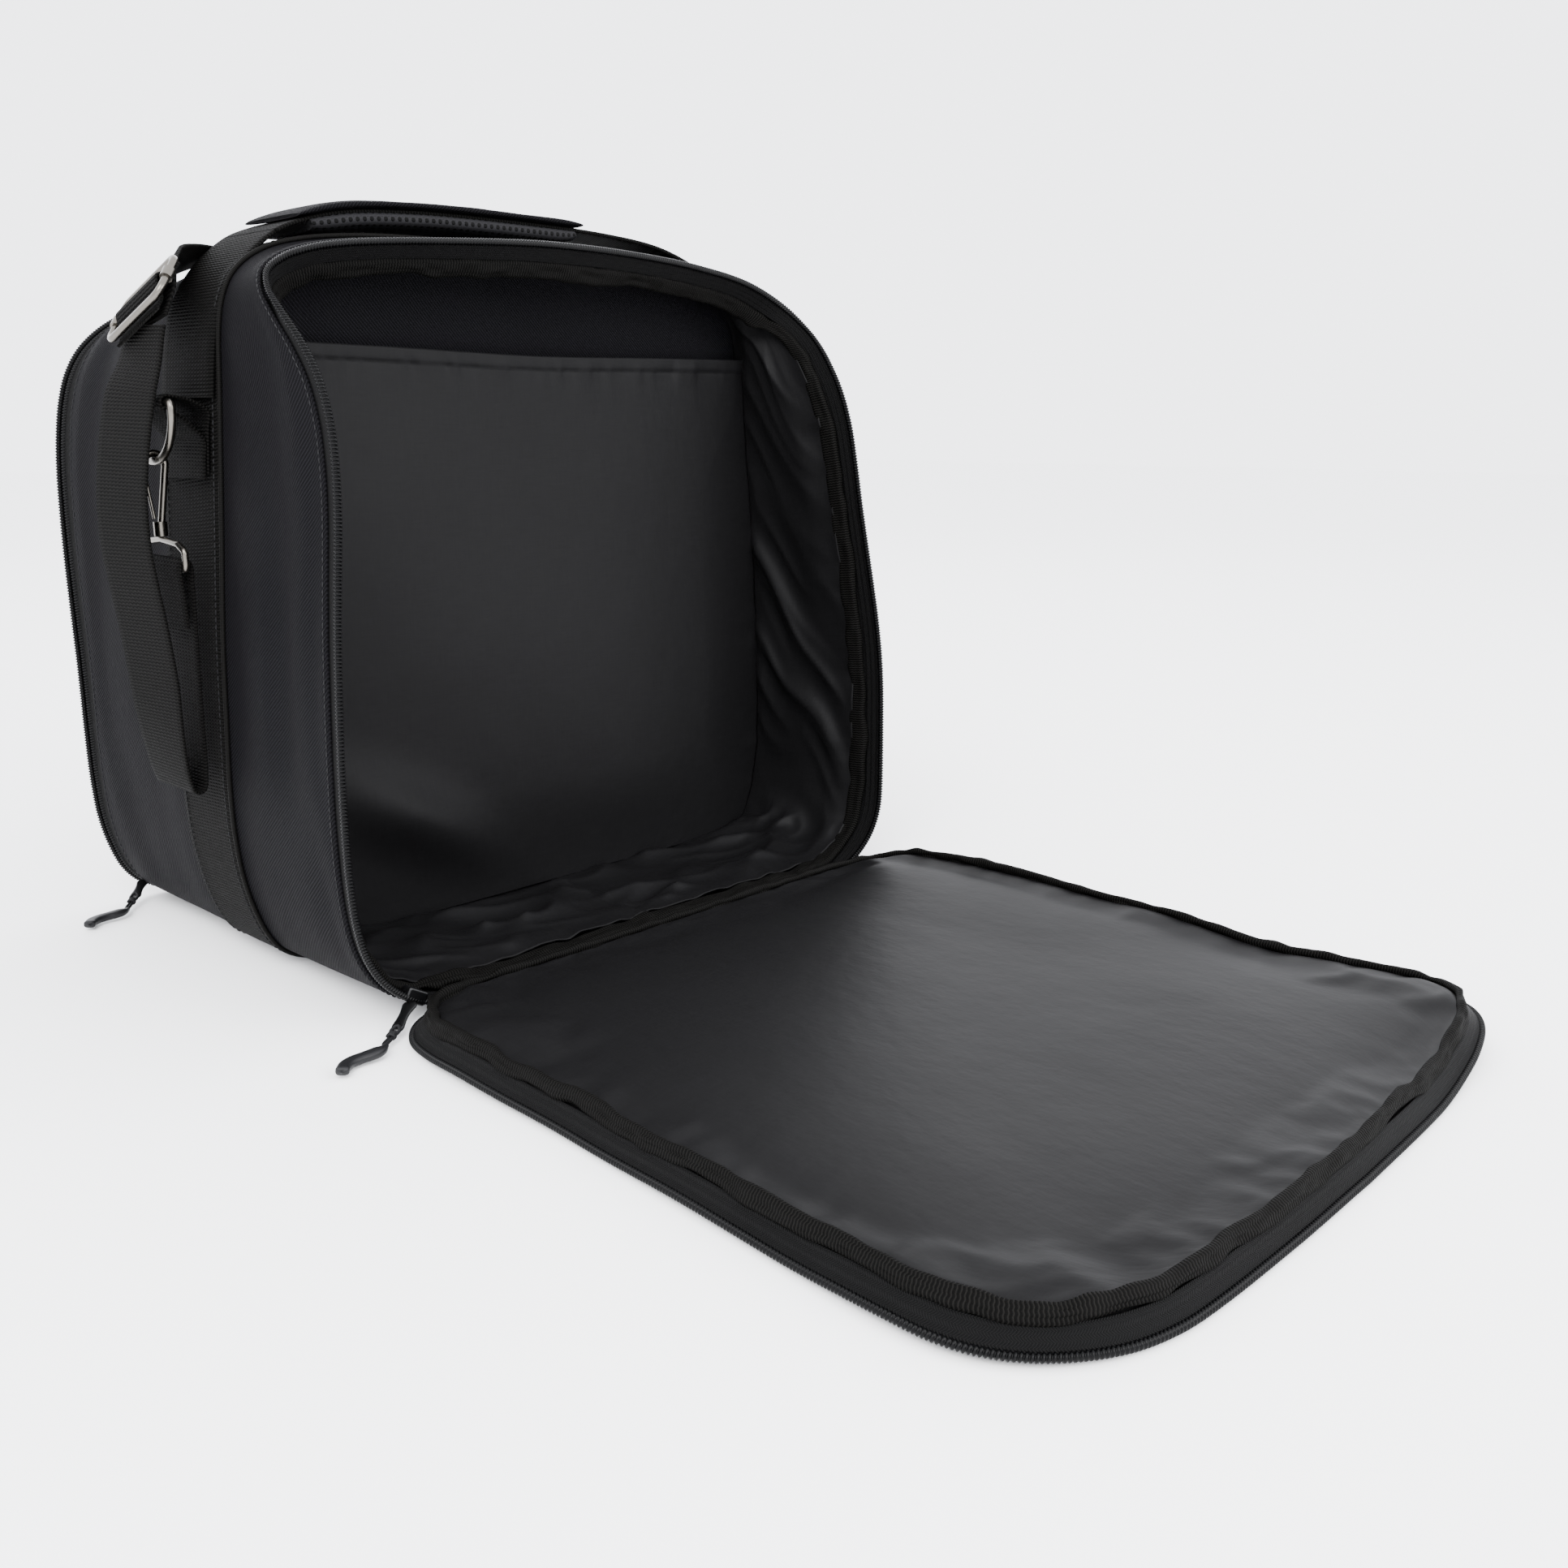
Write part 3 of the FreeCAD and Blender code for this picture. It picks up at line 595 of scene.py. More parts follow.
def door_settle(points):
    """The open door's gentle waves: its right side lifts near the bag and its far right corner curls up."""
    x, y = points[..., 0], points[..., 1]
    away = np.clip((HINGE[1] - y) / 370.0, 0, 1)
    edge = ease(np.abs(x), 95, 175)
    wave = field(21, x / 60 + 3, y / 48 + 9)
    start = ease(away, 0.03, 0.2)
    right = ease(x, 70, 176)
    lift = 1.2 * edge * (wave + 1) * start
    lift = lift + right * (6.0 * ease(away, 0.02, 0.1) * (1 - ease(away, 0.4, 0.7)) + 11.0 * ease(away, 0.8, 1.0))
    out = points.copy()
    out[..., 0] += 1.3 * field(22, x / 90, y / 80 + 2) * start
    out[..., 1] += 1.3 * wave * start
    out[..., 2] += lift
    return out


def seat(kind, points):
    return door_settle(points) if kind == "front_door" else settle(points)


BEND_HALF = 13.0
FLEX_BEND = ("front_door", "front_door_top", (0, (HINGE[1] + HINGE[2] - KINK + BEND_HALF) * MM, 0),
    (0, (HINGE[1] + HINGE[2] - KINK - BEND_HALF) * MM, 0))


def goes_with(kind):
    """Keyword arguments that seat a layer on its body, or hand piece the front door's bend, which piece only bakes in
    place.
    """
    return {"bend": FLEX_BEND} if kind == "front_door" else {"body": "rear_door" if kind == "rear_door" else "body"}


KINDS = ("front_body", "rear_body", "front_door", "rear_door")


def layer_nodes(kind, part):
    """The frame's nodes of one layer."""
    if kind == "front_door":
        return ["front_door_%s_lower" % part, "front_door_%s_upper" % part]
    if kind == "rear_door":
        return ["rear_door_" + part]
    return ["%s_%s" % (kind, part)]


def oval(centre, radii, count):
    a = np.arange(count) / count * 2 * math.pi
    return stack(centre[0] + radii[0] * np.cos(a), centre[1] + radii[1] * np.sin(a))


def bar_section(start, end, thick):
    """A flat band's section in (inset, depth), from start to end, with rounded edges."""
    start, end = np.array(start, float), np.array(end, float)
    along = end - start
    size = norm(along)
    along = along / size
    out = np.array([-along[1], along[0]])
    r = thick / 2
    t = np.linspace(r, size - r, 8)
    top = [start + along * a + out * r for a in t]
    low = [start + along * a - out * r for a in t[::-1]]
    along, out = along * r * 0.3, out * r * 0.7
    tip = [end - along + out, end, end - along - out]
    tail = [start + along - out, start, start + along + out]
    return np.array(top + tip + low + tail)


def layer(kind, s, section, push=0.0, shift=None):
    """Points [s, section] of a closed section carried along the outline; push grows the section's radius.
    The section may change from one station to the next."""
    section = np.broadcast_to(section, (len(s),) + section.shape[-2:])
    middle = section.mean(axis=1, keepdims=True)
    offset = section - middle
    reach = norm(offset, axis=-1, keepdims=True)
    values = middle + offset * (1 + np.broadcast_to(push, section.shape[:2])[..., None] / reach)
    if shift is not None:
        values = values + shift[:, None]
    return seat(kind, place(kind, s[:, None], values[..., 0], values[..., 1]))


# ---- stitching and simple sweeps

def unit(v):
    return v / np.maximum(norm(v, axis=-1, keepdims=True), 1e-9)


def sweep(route, across, section):
    """Rings [point, section, xyz] of a section of (across, out) pairs carried along a route."""
    along = unit(np.gradient(route, axis=0))
    across = np.broadcast_to(np.asarray(across, float), route.shape)
    side = unit(across - along * (along * across).sum(-1, keepdims=True))
    out = np.cross(along, side)
    section = np.asarray(section, float)
    if section.ndim == 2:
        section = np.broadcast_to(section, (len(route),) + section.shape)
    return route[:, None] + side[:, None] * section[..., :1] + out[:, None] * section[..., 1:]


UP = np.array([0.0, 0.0, 1.0])
Y_AXIS = np.array([0.0, 1.0, 0.0])


def tapered(route, across, width, thick, count=18, square=0.75):
    """Rings of a flattened bar whose half width and half thickness change along its route."""
    a = (np.arange(count) / count * 2 * math.pi)[None]
    wide = np.sign(np.cos(a)) * np.abs(np.cos(a)) ** square * width[:, None]
    deep = np.sign(np.sin(a)) * np.abs(np.sin(a)) ** square * thick[:, None]
    return sweep(route, across, stack(wide, deep))


def round_end(t, reach):
    """0 at both ends of a bar and 1 between them, with rounded shoulders."""
    return np.sqrt(np.clip(1 - (1 - np.clip(np.minimum(t, 1 - t) / reach, 0, 1)) ** 2, 0.0004, 1))


def band_section(width, thick, steps=10):
    """A webbing's section: flat, with softly rounded edges."""
    w, t = width / 2, thick / 2
    flat = np.linspace(-w + 0.7, w - 0.7, steps)
    top = [(a, t) for a in flat]
    low = [(a, -t) for a in flat[::-1]]
    return np.array(top + [(w - 0.15, t * 0.6), (w, 0), (w - 0.15, -t * 0.6)] + low + [(-w + 0.15, -t * 0.6), (-w, 0),
        (-w + 0.15, t * 0.6)])


def stitch_row(path, out, pitch=3.4, length=2.5, radius=0.32, closed=False):
    """Points of a row of short threads lying on cloth; out is the cloth's outward direction."""
    at, _ = resample(path, pitch, closed)
    path = np.asarray(path, float)
    nearest = np.argmin(((at[:, None] - path[None]) ** 2).sum(-1), axis=1)
    normal = unit(np.broadcast_to(out, path.shape)[nearest])
    along = unit(np.gradient(at, axis=0))
    side = np.cross(along, normal)
    turns = np.arange(5) / 5 * 2 * math.pi
    stations = np.array([(-0.5, 0.35, -0.35), (-0.3, 0.9, 0.05), (0.0, 1.0, 0.2), (0.3, 0.9, 0.05),
        (0.5, 0.35, -0.35)])
    a, b, lift = stations[:, 0] * length, stations[:, 1] * radius, stations[:, 2] * radius
    ring = (along[:, None, None] * a[None, :, None, None] + side[:, None, None] * (b[:, None] * np.cos(turns))[None,
        :, :, None] + normal[:, None, None] * (b[:, None] * np.sin(turns) + lift[:, None])[None, :, :, None])
    return at[:, None, None] + ring


def thread_piece(name, rows, **place_with):
    """One mesh for several rows of stitches."""
    spindles = np.concatenate([stitch_row(**row) for row in rows])
    count = len(spindles)
    quads, a, b = grid_faces(5, 5, False, True)
    faces = (quads[None] + (np.arange(count) * 25)[:, None, None]).reshape(-1, 4)
    uvs = np.broadcast_to(stack(a * 0.6, b * 0.4), (count,) + a.shape + (2,))
    return piece(name, new_mesh(spindles, faces.tolist(), uvs), "thread", **place_with)


def panel_grid(rows, columns, read, low_s, high_s, flat_top=False):
    """x and height over a flat panel that fills an outline: rows climb it and columns cross it.
    read gives the outline's points at shares s."""
    s = np.linspace(low_s, high_s, rows)
    edge = read(s)
    t = np.linspace(0, 1, rows)[:, None]
    x = -edge[:, 0][:, None] * np.linspace(-1, 1, columns)[None]
    z = np.broadcast_to(edge[:, 2][:, None], x.shape)
    floor, top = read(np.linspace(0, low_s, 60)), read(np.linspace(high_s, 0.5, 60))
    under = np.interp(np.abs(x), -floor[:, 0], floor[:, 2]) - edge[0, 2]
    over = np.interp(np.abs(x), -top[::-1, 0], top[::-1, 2]) - edge[-1, 2]
    crown = 0.0 if flat_top else over * ease(t, 0.55, 1.0)
    return x, z + under * (1 - ease(t, 0, 0.2)) + crown


# ---- body

SHELL_THICK, LINING_THICK, POCKET_THICK = 1.5, 0.8, 0.9


def loop(count):
    return np.arange(count) / count


def open_run(count, trim=0.0):
    return np.linspace(FOLD_S + trim, 1 - FOLD_S - trim, count)


def gusset(name, at_front, nodes):
    """One half of the twill wall round the bag, softly ridged beside its rim."""
    s = loop(460)[:, None]
    v = np.linspace(0, 1, 50)[None, :]
    start, end = (front_y(s) + 6.0, MID + 0 * s) if at_front else (MID + 0 * s, REAR_RIM - 6.0 + 0 * s)
    y = start + (end - start) * v
    points = surface(s, y)
    gap = np.abs(y - (start if at_front else end))
    run = s * PERIMETER
    line = field(31, run / 95, y / 60)
    near = np.exp(-gap / 40.0) * ease(gap, 0.0, 14.0)
    high = ease(points[..., 2], 40, 250)
    ridge = np.sin(gap / 8.4 + 3.2 * line) * (0.7 + 1.6 * high) * near
    broad = field(33, run / 70, y / 30) * 1.3 * ease(gap, 0, 20)
    edge = -0.9 * np.exp(-gap / 3.0)
    still = ease(np.abs(y - MID), 22, 42) * ease(points[..., 2], 3, 30)
    points = points + grid_normals(points, wrap=True) * ((ridge + broad + edge) * still)[..., None]
    points = settle(points)
    piece(name, slab(points, SHELL_THICK, wrap=True), "outer_twill", "body", stands_for=nodes)
    column = 1 if at_front else -2
    normal = grid_normals(points, wrap=True)
    return dict(path=points[:, column] + normal[:, column] * 0.1, out=normal[:, column], closed=True)


def build_gussets():
    rows = [gusset("front_gusset", True, ("front_shell", "front_foam")),
        gusset("rear_gusset", False, ("rear_shell", "rear_foam"))]
    thread_piece("rim_stitching", rows, body="body")


def lining(name, at_front, node):
    """Loose satin inside a compartment, gathered at its binding and creased most along the floor."""
    s = loop(620)[:, None]
    v = np.linspace(0, 1, 64)[None, :]
    start = front_y(s) + 15.0 if at_front else DIVIDER_REAR + 0.4 + 0 * s
    end = DIVIDER_FRONT - 0.4 + 0 * s if at_front else REAR_RIM - 15.0 + 0 * s
    y = start + (end - start) * v
    run = np.broadcast_to(s * PERIMETER, y.shape)
    height = np.broadcast_to(BELT.read(s)[0][..., 2], y.shape)
    rim_gap, inner_gap = (np.abs(y - start), np.abs(end - y)) if at_front else (np.abs(end - y), np.abs(y - start))
    gather = field(41, run / 8.0, rim_gap / 24.0) * 1.3 * np.exp(-rim_gap / 11.0)
    drift = field(45, run / 90, y / 40)
    slanted = folds(42, (run + y * 1.1) / 42.0 + 0.4 * drift, (y - run * 0.25) / 120.0, octaves=2)
    cross = folds(47, run / 85.0 + y / 80.0, y / 46.0, octaves=2)
    crumple = folds(49, (run + y) / 62.0 + 0.4 * drift, (y - 0.4 * run) / 30.0, octaves=2)
    floor = ease(-height, -34, -4)
    free = ease(rim_gap, 0, 20) * ease(inner_gap, 0, 14)
    wall_fold = 7.5 * slanted ** 2 + 1.0 * cross - 1.6
    floor_fold = 4.0 * cross ** 2 + 8.0 * crumple ** 2 - 2.5
    depth = 7.4 + gather + free * ((1 - floor) * wall_fold + floor * floor_fold)
    points = settle(surface(s, y, np.maximum(depth, 5.6)))
    obj = piece(name, slab(points, -LINING_THICK, wrap=True), "satin_lining", "body", stands_for=(node,))


def build_linings():
    lining("front_compartment", True, "front_lining")
    lining("rear_compartment", False, "rear_lining")


def build_divider():
    low_s, high_s = BELT.at_width(140), BELT.at_width(130, low=False)
    x, z = panel_grid(120, 110, lambda s: surface(s, -24.0, 5.0), low_s, high_s)
    bulge = field(51, x / 90, z / 70)
    face = settle(stack(x, DIVIDER_FRONT + 0.4 + bulge, z))
    back = settle(stack(x, DIVIDER_REAR - 0.4 + bulge, z))
    piece("divider", closed_mesh(face, back), "outer_twill", "body", stands_for=["divider_panel"])
    s = np.linspace(0.3, high_s, 500)
    top_s = s[int(np.argmax(surface(s, -34.0, 8.0)[:, 2] >= POCKET_HIGH[2]))]
    x, z = panel_grid(240, 210, lambda s: surface(s, -34.0, 8.4), low_s, top_s, flat_top=True)
    side_gap = 162 - np.abs(x)
    hem_gap = z[-1][None] - z
    away = np.minimum(ease(side_gap, 0, 45), ease(z, 10, 70))
    away = np.minimum(away, ease(hem_gap, 8, 80) * 0.9 + 0.1)
    slack = 2.0 * field(52, x / 120 + 4, z / 130) + 0.8 * field(53, x / 60, z / 80 + 8)
    corner = folds(54, (x + z * 0.7) / 90, (z - x * 0.4) / 95, octaves=1)
    drape = 2.5 * (corner - 0.5) * ease(170 - z, 0, 130)
    left_fold = 10.0 * np.exp(-(((x + 100) * 0.5 + (z - 70)) / 19) ** 2 - ((x + 88) / 42) ** 2)
    tucks = field(55, x / 5.0, z / 26) * np.exp(-np.abs(hem_gap - 7) / 5.0) * 0.9
    edge = field(56, z / 9 + np.sign(x) * 7, x / 60) * np.exp(-np.maximum(side_gap, 0) / 7.0) * 0.8
    hem_lift = 1.3 * ease(-hem_gap, -6.4, -5.6)
    y = POCKET_LOW[1] + 1.6 - away * (3.2 + slack + drape) - left_fold - np.maximum(tucks, -0.6) - edge - hem_lift
    sag = -2.0 * np.exp(-((x - 20) / 120) ** 2) * ease(-hem_gap, -60, 0)
    points = settle(stack(x, y, z + sag))
    obj = piece("pocket", slab(points, POCKET_THICK), "satin_lining", "body", stands_for=["divider_pocket"])
    rows = []
    for down in (1.4, 5.2):
        row = int(np.argmin(np.abs(hem_gap[:, 105] - down)))
        rows.append(dict(path=points[row] + np.array([0, -0.15, 0]), out=np.array([0, -1.0, 0]), pitch=3.0,
            length=2.3, radius=0.26))
    thread_piece("pocket_hem_stitching", rows, body="body")


# Sections of the bodies' rims, the doors' rims and the front body's ceiling.
BODY_TAPE = bar_section((1.7, -1.6), (2.8, 12.5), 0.9)
DOOR_TAPE = bar_section((0.3, 1.8), (6.4, 8.8), 0.9)
TOP_TAPE = bar_section((1.7, -1.6), (9.5, 6.4), 0.9)
BODY_BINDING = bar_section((5.3, 7.6), (6.0, 18.0), 4.0)
DOOR_BINDING = bar_section((6.2, 8.6), (9.2, 14.8), 3.4)
TOP_BINDING = bar_section((8.6, 7.4), (17.0, 12.4), 4.0)


def drooping(kind, s, section, top):
    """A rim's section; the front body's turns into top along the ceiling, where tape and binding hang in."""
    if kind != "front_body":
        return section
    droop = ease(FRONT.read(s)[0][:, 2], 296.0, 334.0)[:, None, None]
    return section * (1 - droop) + top * droop


def build_rims():
    """Zip tapes, coils and bindings round the four edges."""
    for number, kind in enumerate(KINDS):
        door = kind.endswith("door")
        trim = 0.007 if door else 0.0
        s = open_run(800, trim)
        ripple = field(60 + number, s * PERIMETER / 14, 0 * s)[:, None] * 0.15
        section = drooping(kind, s, DOOR_TAPE if door else BODY_TAPE, TOP_TAPE)
        piece(kind + "_zip_tape", skin(layer(kind, s, section, ripple)), "zip_tape",
            stands_for=layer_nodes(kind, "tape"), **goes_with(kind))
        length = (s[-1] - s[0]) * PERIMETER
        s = open_run(int(length / TOOTH * 6), trim)
        section = oval((0.15, 1.7) if door else (1.9, -1.3), (1.5, 1.5), 9)
        turn = np.arange(9) / 9 * 2 * math.pi
        phase = (s * PERIMETER * 2 * math.pi / TOOTH)[:, None]
        teeth = 0.9 * np.abs(np.cos(phase / 2 + turn[None] / 2)) - 0.6
        piece(kind + "_zip_coil", skin(layer(kind, s, section, teeth)), "zip_coil",
            stands_for=layer_nodes(kind, "coil"), **goes_with(kind))
        s = loop(1500)
        section = drooping(kind, s, DOOR_BINDING if door else BODY_BINDING, TOP_BINDING)
        run = s * PERIMETER
        turn = np.arange(len(BODY_BINDING))[None] / len(BODY_BINDING) * 6
        push = 0.8 * field(71 + number, run[:, None] / 8.5, turn) + 0.7 * field(75 + number, run[:, None] / 34.0,
            turn / 3)
        floor = 1 - ease(np.minimum(s, 1 - s), FOLD_S * 0.8, FOLD_S * 1.25)
        corner = np.exp(-((s - FOLD_S * 1.15) / 0.028) ** 2) if kind.startswith("front") else 0 * s
        if kind == "front_body":
            corner = corner + 0.9 * np.exp(-((s - FRONT.at_height(288.0)) / 0.045) ** 2)
        push = push * (1 + 1.2 * corner[:, None])
        wander = (0.8 + 1.5 * corner) * field(79 + number, run / 13.0, 0 * run)
        shift = stack(wander, 0.5 * wander - (0 if door else 4.5) * floor)
        piece(kind + "_edge_binding", skin(layer(kind, s, section, push, shift), along=True), "woven_binding",
            stands_for=layer_nodes(kind, "binding"), **goes_with(kind))


def build_hinges():
    """The fabric that joins each door to the body along the floor."""
    x = np.linspace(-FOLD_HALF - 6, FOLD_HALF + 6, 120)
    for side, door in ((-1, "front_door"), (1, "rear_door")):
        run = np.linspace(0, 1, 40)
        if side < 0:
            y, z = -114 - 30 * run, 4.0 - 1.6 * np.exp(-((run - 0.62) / 0.2) ** 2)
            bend = ("body", door, (0, -128.0 * MM, 3 * MM), (0, -138.8 * MM, 3 * MM))
        else:
            path = smooth_path([(0, 114, 4), (0, 124, 3.4), (0, 131, 2.8), (0, 134.4, 4.6), (0, 134.8, 9),
                (0, 134.8, 15)], 0.8)
            y, z = path[:, 1], path[:, 2]
            bend = ("body", door, (0, 129.0 * MM, 1 * MM), (0, 135.4 * MM, 7.4 * MM))
        grid_x, grid_y = np.meshgrid(x, y, indexing="ij")
        grid_z = np.broadcast_to(z, grid_x.shape) + 0.3 * field(81, grid_x / 9, grid_y / 7)
        name = "front_hinge_cloth" if side < 0 else "rear_hinge_cloth"
        piece(name, slab(stack(grid_x, grid_y, grid_z), 0.8 * side), "woven_binding", bend=bend,
            stands_for=["hinge_tapes"] if side < 0 else ())


def build_belt():
    """Webbing sewn flat round the middle, with a corded seam in front of it."""
    s = loop(760)[:, None]
    section = band_section(BELT_HIGH[1] - BELT_LOW[1], 1.5, 12)
    y = MID + section[:, 0][None, :]
    wave = field(91, s * PERIMETER / 40, y / 30) * 0.25
    rings = settle(surface(s, y, -0.85 - section[:, 1][None, :] - np.maximum(wave, 0)))
    piece("belt", skin(rings, along=True), "webbing", "body", stands_for=["belt_webbing"])
    cord = oval((BELT_LOW[1] - 1.5, -0.95), (1.15, 1.15), 10)
    rings = settle(surface(s, cord[:, 0][None, :], cord[:, 1][None, :]))
    piece("belt_piping", skin(rings, along=True), "piping", "body", stands_for=["seam_piping"])
    rows = []
    for side in (-1, 1):
        path = settle(surface(loop(900), MID + side * 21.8, -1.75))
        tangent = unit(np.roll(path, -1, 0) - np.roll(path, 1, 0))
        rows.append(dict(path=path, out=np.cross(tangent, Y_AXIS), closed=True))
    thread_piece("belt_stitching", rows, body="body")


# ---- doors

CLOTH_SLACK, CLOTH_PRESSURE, CLOTH_FRAMES, CLOTH_REACH = 0.007, 2.2, 22, 9.0
PILLOW_INSET = 8.4


def puffed(points):
    """Cloth a little too big for its frame, held along its edge and blown up softly from behind."""
    n, m, _ = points.shape
    quads, _, _ = grid_faces(n, m, False, False)
    mesh = bpy.data.meshes.new("trial_cloth")
    mesh.from_pydata((points.reshape(-1, 3) * MM).tolist(), [], quads.tolist())
    mesh.update()
    obj = bpy.data.objects.new("trial_cloth", mesh)
    bpy.context.scene.collection.objects.link(obj)
    edge = np.zeros((n, m), bool)
    edge[0], edge[-1], edge[:, 0], edge[:, -1] = True, True, True, True
    group = obj.vertex_groups.new(name="held")
    group.add(np.flatnonzero(edge.reshape(-1)).tolist(), 1.0, "REPLACE")
    cloth = obj.modifiers.new("cloth", "CLOTH")
    s = cloth.settings
    s.quality = 7
    s.mass = 0.25
    s.tension_stiffness = s.compression_stiffness = 18
    s.shear_stiffness = 8
    s.bending_stiffness = 0.35
    s.vertex_group_mass = "held"
    s.shrink_min = s.shrink_max = -CLOTH_SLACK
    s.use_pressure = True
    s.uniform_pressure_force = CLOTH_PRESSURE
    s.effector_weights.gravity = 0.0
    cloth.collision_settings.use_collision = False
    cloth.collision_settings.use_self_collision = False
    cloth.point_cache.frame_start, cloth.point_cache.frame_end = 1, CLOTH_FRAMES
    scene = bpy.context.scene
    for frame_number in range(1, CLOTH_FRAMES + 1):
        scene.frame_set(frame_number)
    evaluated = obj.evaluated_get(bpy.context.evaluated_depsgraph_get())
    flat = np.zeros(n * m * 3, np.float32)
    evaluated.data.vertices.foreach_get("co", flat)
    result = flat.reshape(n, m, 3).astype(float) / MM
    scene.frame_set(1)
    bpy.data.objects.remove(obj)
    moved = result - points
    reach = norm(moved, axis=-1, keepdims=True)
    return points + 0.7 * moved * np.minimum(1.0, CLOTH_REACH / np.maximum(reach, 1e-6))


def door_grid(outline, rows, columns, inset):
    """x and height over one of the doors, inset from its edge."""
    def read(s):
        p, n = outline.read(s)
        return p + n * inset
    return panel_grid(rows, columns, read, outline.at_width(134), outline.at_width(132, low=False))


def inward_distance(x, z):
    """Rough distance in from a panel's edge."""
    half = np.abs(x[:, -1])[:, None]
    return np.minimum(half - np.abs(x), np.minimum(z - z[0][None], z[-1][None] - z))


def build_doors():
    for kind, outline in (("front_door", DOOR), ("rear_door", REAR)):
        def seated(x, up, h):
            if kind == "front_door":
                return door_settle(stack(x, HINGE[1] + HINGE[2] - up, h))
            return settle(stack(x, REAR_RIM + 6.4 - h, up))
        x, z = door_grid(outline, 92, 84, PILLOW_INSET)
        inward = inward_distance(x, z)
        crown = 11.6 + 9.6 * (1 - np.exp(-inward / 20.0)) - 1.5 * ease(inward, 60, 150)
        crown = crown + 1.0 * field(101, x / 80, z / 80) * ease(inward, 0, 30)
        by_side = ease(np.minimum(z - z[0][None], z[-1][None] - z) - (np.abs(x[:, -1])[:, None] - np.abs(x)), -8, 8)
        pucker = by_side * field(105, z / 8.0, x / 34) + (1 - by_side) * field(106, x / 8.0, z / 34)
        gathered = 1 + (2.4 * np.exp(-((x + 150) / 42) ** 2 - ((z - 30) / 46) ** 2) if kind == "front_door" else 0)
        crown = crown + 1.1 * pucker * gathered * ease(inward, 0, 5) * np.exp(-inward / 13.0 / gathered)
        blown = puffed(stack(x, z, crown))
        top = seated(blown[..., 0], blown[..., 1], blown[..., 2])
        base_x, base_z = door_grid(outline, 92, 84, PILLOW_INSET - 0.2)
        base = seated(base_x, base_z, np.full_like(base_x, 1.4))
        obj = piece(kind + "_pillow", closed_mesh(top, base), "satin_lining",
            stands_for=layer_nodes(kind, "foam") + layer_nodes(kind, "lining"), **goes_with(kind))
        soften = obj.modifiers.new("soften", "SUBSURF")
        soften.levels = soften.render_levels = 1
        x, z = door_grid(outline, 90, 84, 3.0)
        inward = inward_distance(x, z)
        if kind == "rear_door":
            dome = 1.2 - 5.2 * (1 - np.exp(-inward / 22.0)) - 0.8 * field(103, x / 70, z / 70) * ease(inward, 0, 30)
        else:
            dome = 0.9 - 0.9 * ease(inward, 0, 12)
        piece(kind + "_cover", closed_mesh(seated(x, z, dome), seated(x, z, dome + 0.9)), "outer_twill",
            stands_for=layer_nodes(kind, "panel"), **goes_with(kind))


# ---- handle, rings and straps

HANDLE_WIDTH, STRAP_WIDTH = 50.0, 40
HANDLE_TOP = [(-133.0, 344.6), (-120.0, 350.6), (-98.0, 356.5), (-60.0, 360.0), (0.0, 361.0)]


def belt_points(heights, out):
    """Points on the left of the belt's middle at these heights, out from the bag's face."""
    s = np.array([BELT.at_height(z) for z in heights])
    return settle(surface(s, MID, -out))


def build_handle():
    """Webbing that rises from the top corners, and the padded sleeve wrapped round its middle."""
    rise = [tuple(p) for p in belt_points((272, 288, 302, 312), 2.7)] + [(-150.5, MID, 329.0)]
    half = rise + [(x, MID, z) for x, z in HANDLE_TOP]
    route = smooth_path(half + [(-x, y, z) for x, y, z in reversed(half[:-1])], 2.0)
    section = band_section(HANDLE_WIDTH, 2.0, 12)
    middle = route[np.abs(route[:, 0]) < 133]
    piece("handle_webbing_span", skin(sweep(middle, Y_AXIS, section)), "webbing", "handle",
        stands_for=["handle_webbing"])
    for side, sign in (("left", -1), ("right", 1)):
        leg = route[route[:, 0] * sign > 131]
        bend = ("body", "handle", (sign * 160 * MM, 0, 0.312), (sign * 131 * MM, 0, 0.345))
        name = side + "_handle_leg"
        piece(name, skin(sweep(leg, Y_AXIS, section)), "webbing", bend=bend,
            stands_for=["handle_ends"] if sign < 0 else ())
    pad = route[(route[:, 0] > -122) & (route[:, 0] < 47)]
    t = np.linspace(0, 1, len(pad))
    lump = 0.3 * field(111, t * 12, 0 * t)
    shape = round_end(t, 0.12)
    cover = tapered(pad + UP * 3.0, Y_AXIS, 25.6 + 2.7 * shape, 0.8 + 1.5 * shape + lump * shape, 56, 0.6)
    obj = piece("handle_sleeve", skin(cover), "outer_twill", "handle", stands_for=["handle_pad"])
    inner = slice(3, -3)
    shape = round_end(t[inner], 0.13)
    route = pad[inner] - UP * (3.6 * shape[:, None])
    cushion = tapered(route, Y_AXIS, 25.0 + 2.2 * shape, 0.6 + 4.4 * shape, 56, 0.7)
    obj = piece("handle_air_mesh", skin(cushion), "air_mesh", "handle", stands_for=["handle_mesh"])


def rounded_route(points, radius):
    """Straight runs through the points with each bend rounded."""
    p = [np.array(q, float) for q in points]
    out = [p[0]]
    for a, b, c in zip(p, p[1:], p[2:]):
        u, w = unit(a - b), unit(c - b)
        r = min(radius, 0.45 * norm(a - b), 0.45 * norm(c - b))
        start, finish = b + u * r, b + w * r
        t = np.linspace(0, 1, 9)[:, None]
        out += list((1 - t) ** 2 * start + 2 * t * (1 - t) * b + t * t * finish)
    out.append(p[-1])
    return resample(np.array(out), 1.6)[0]


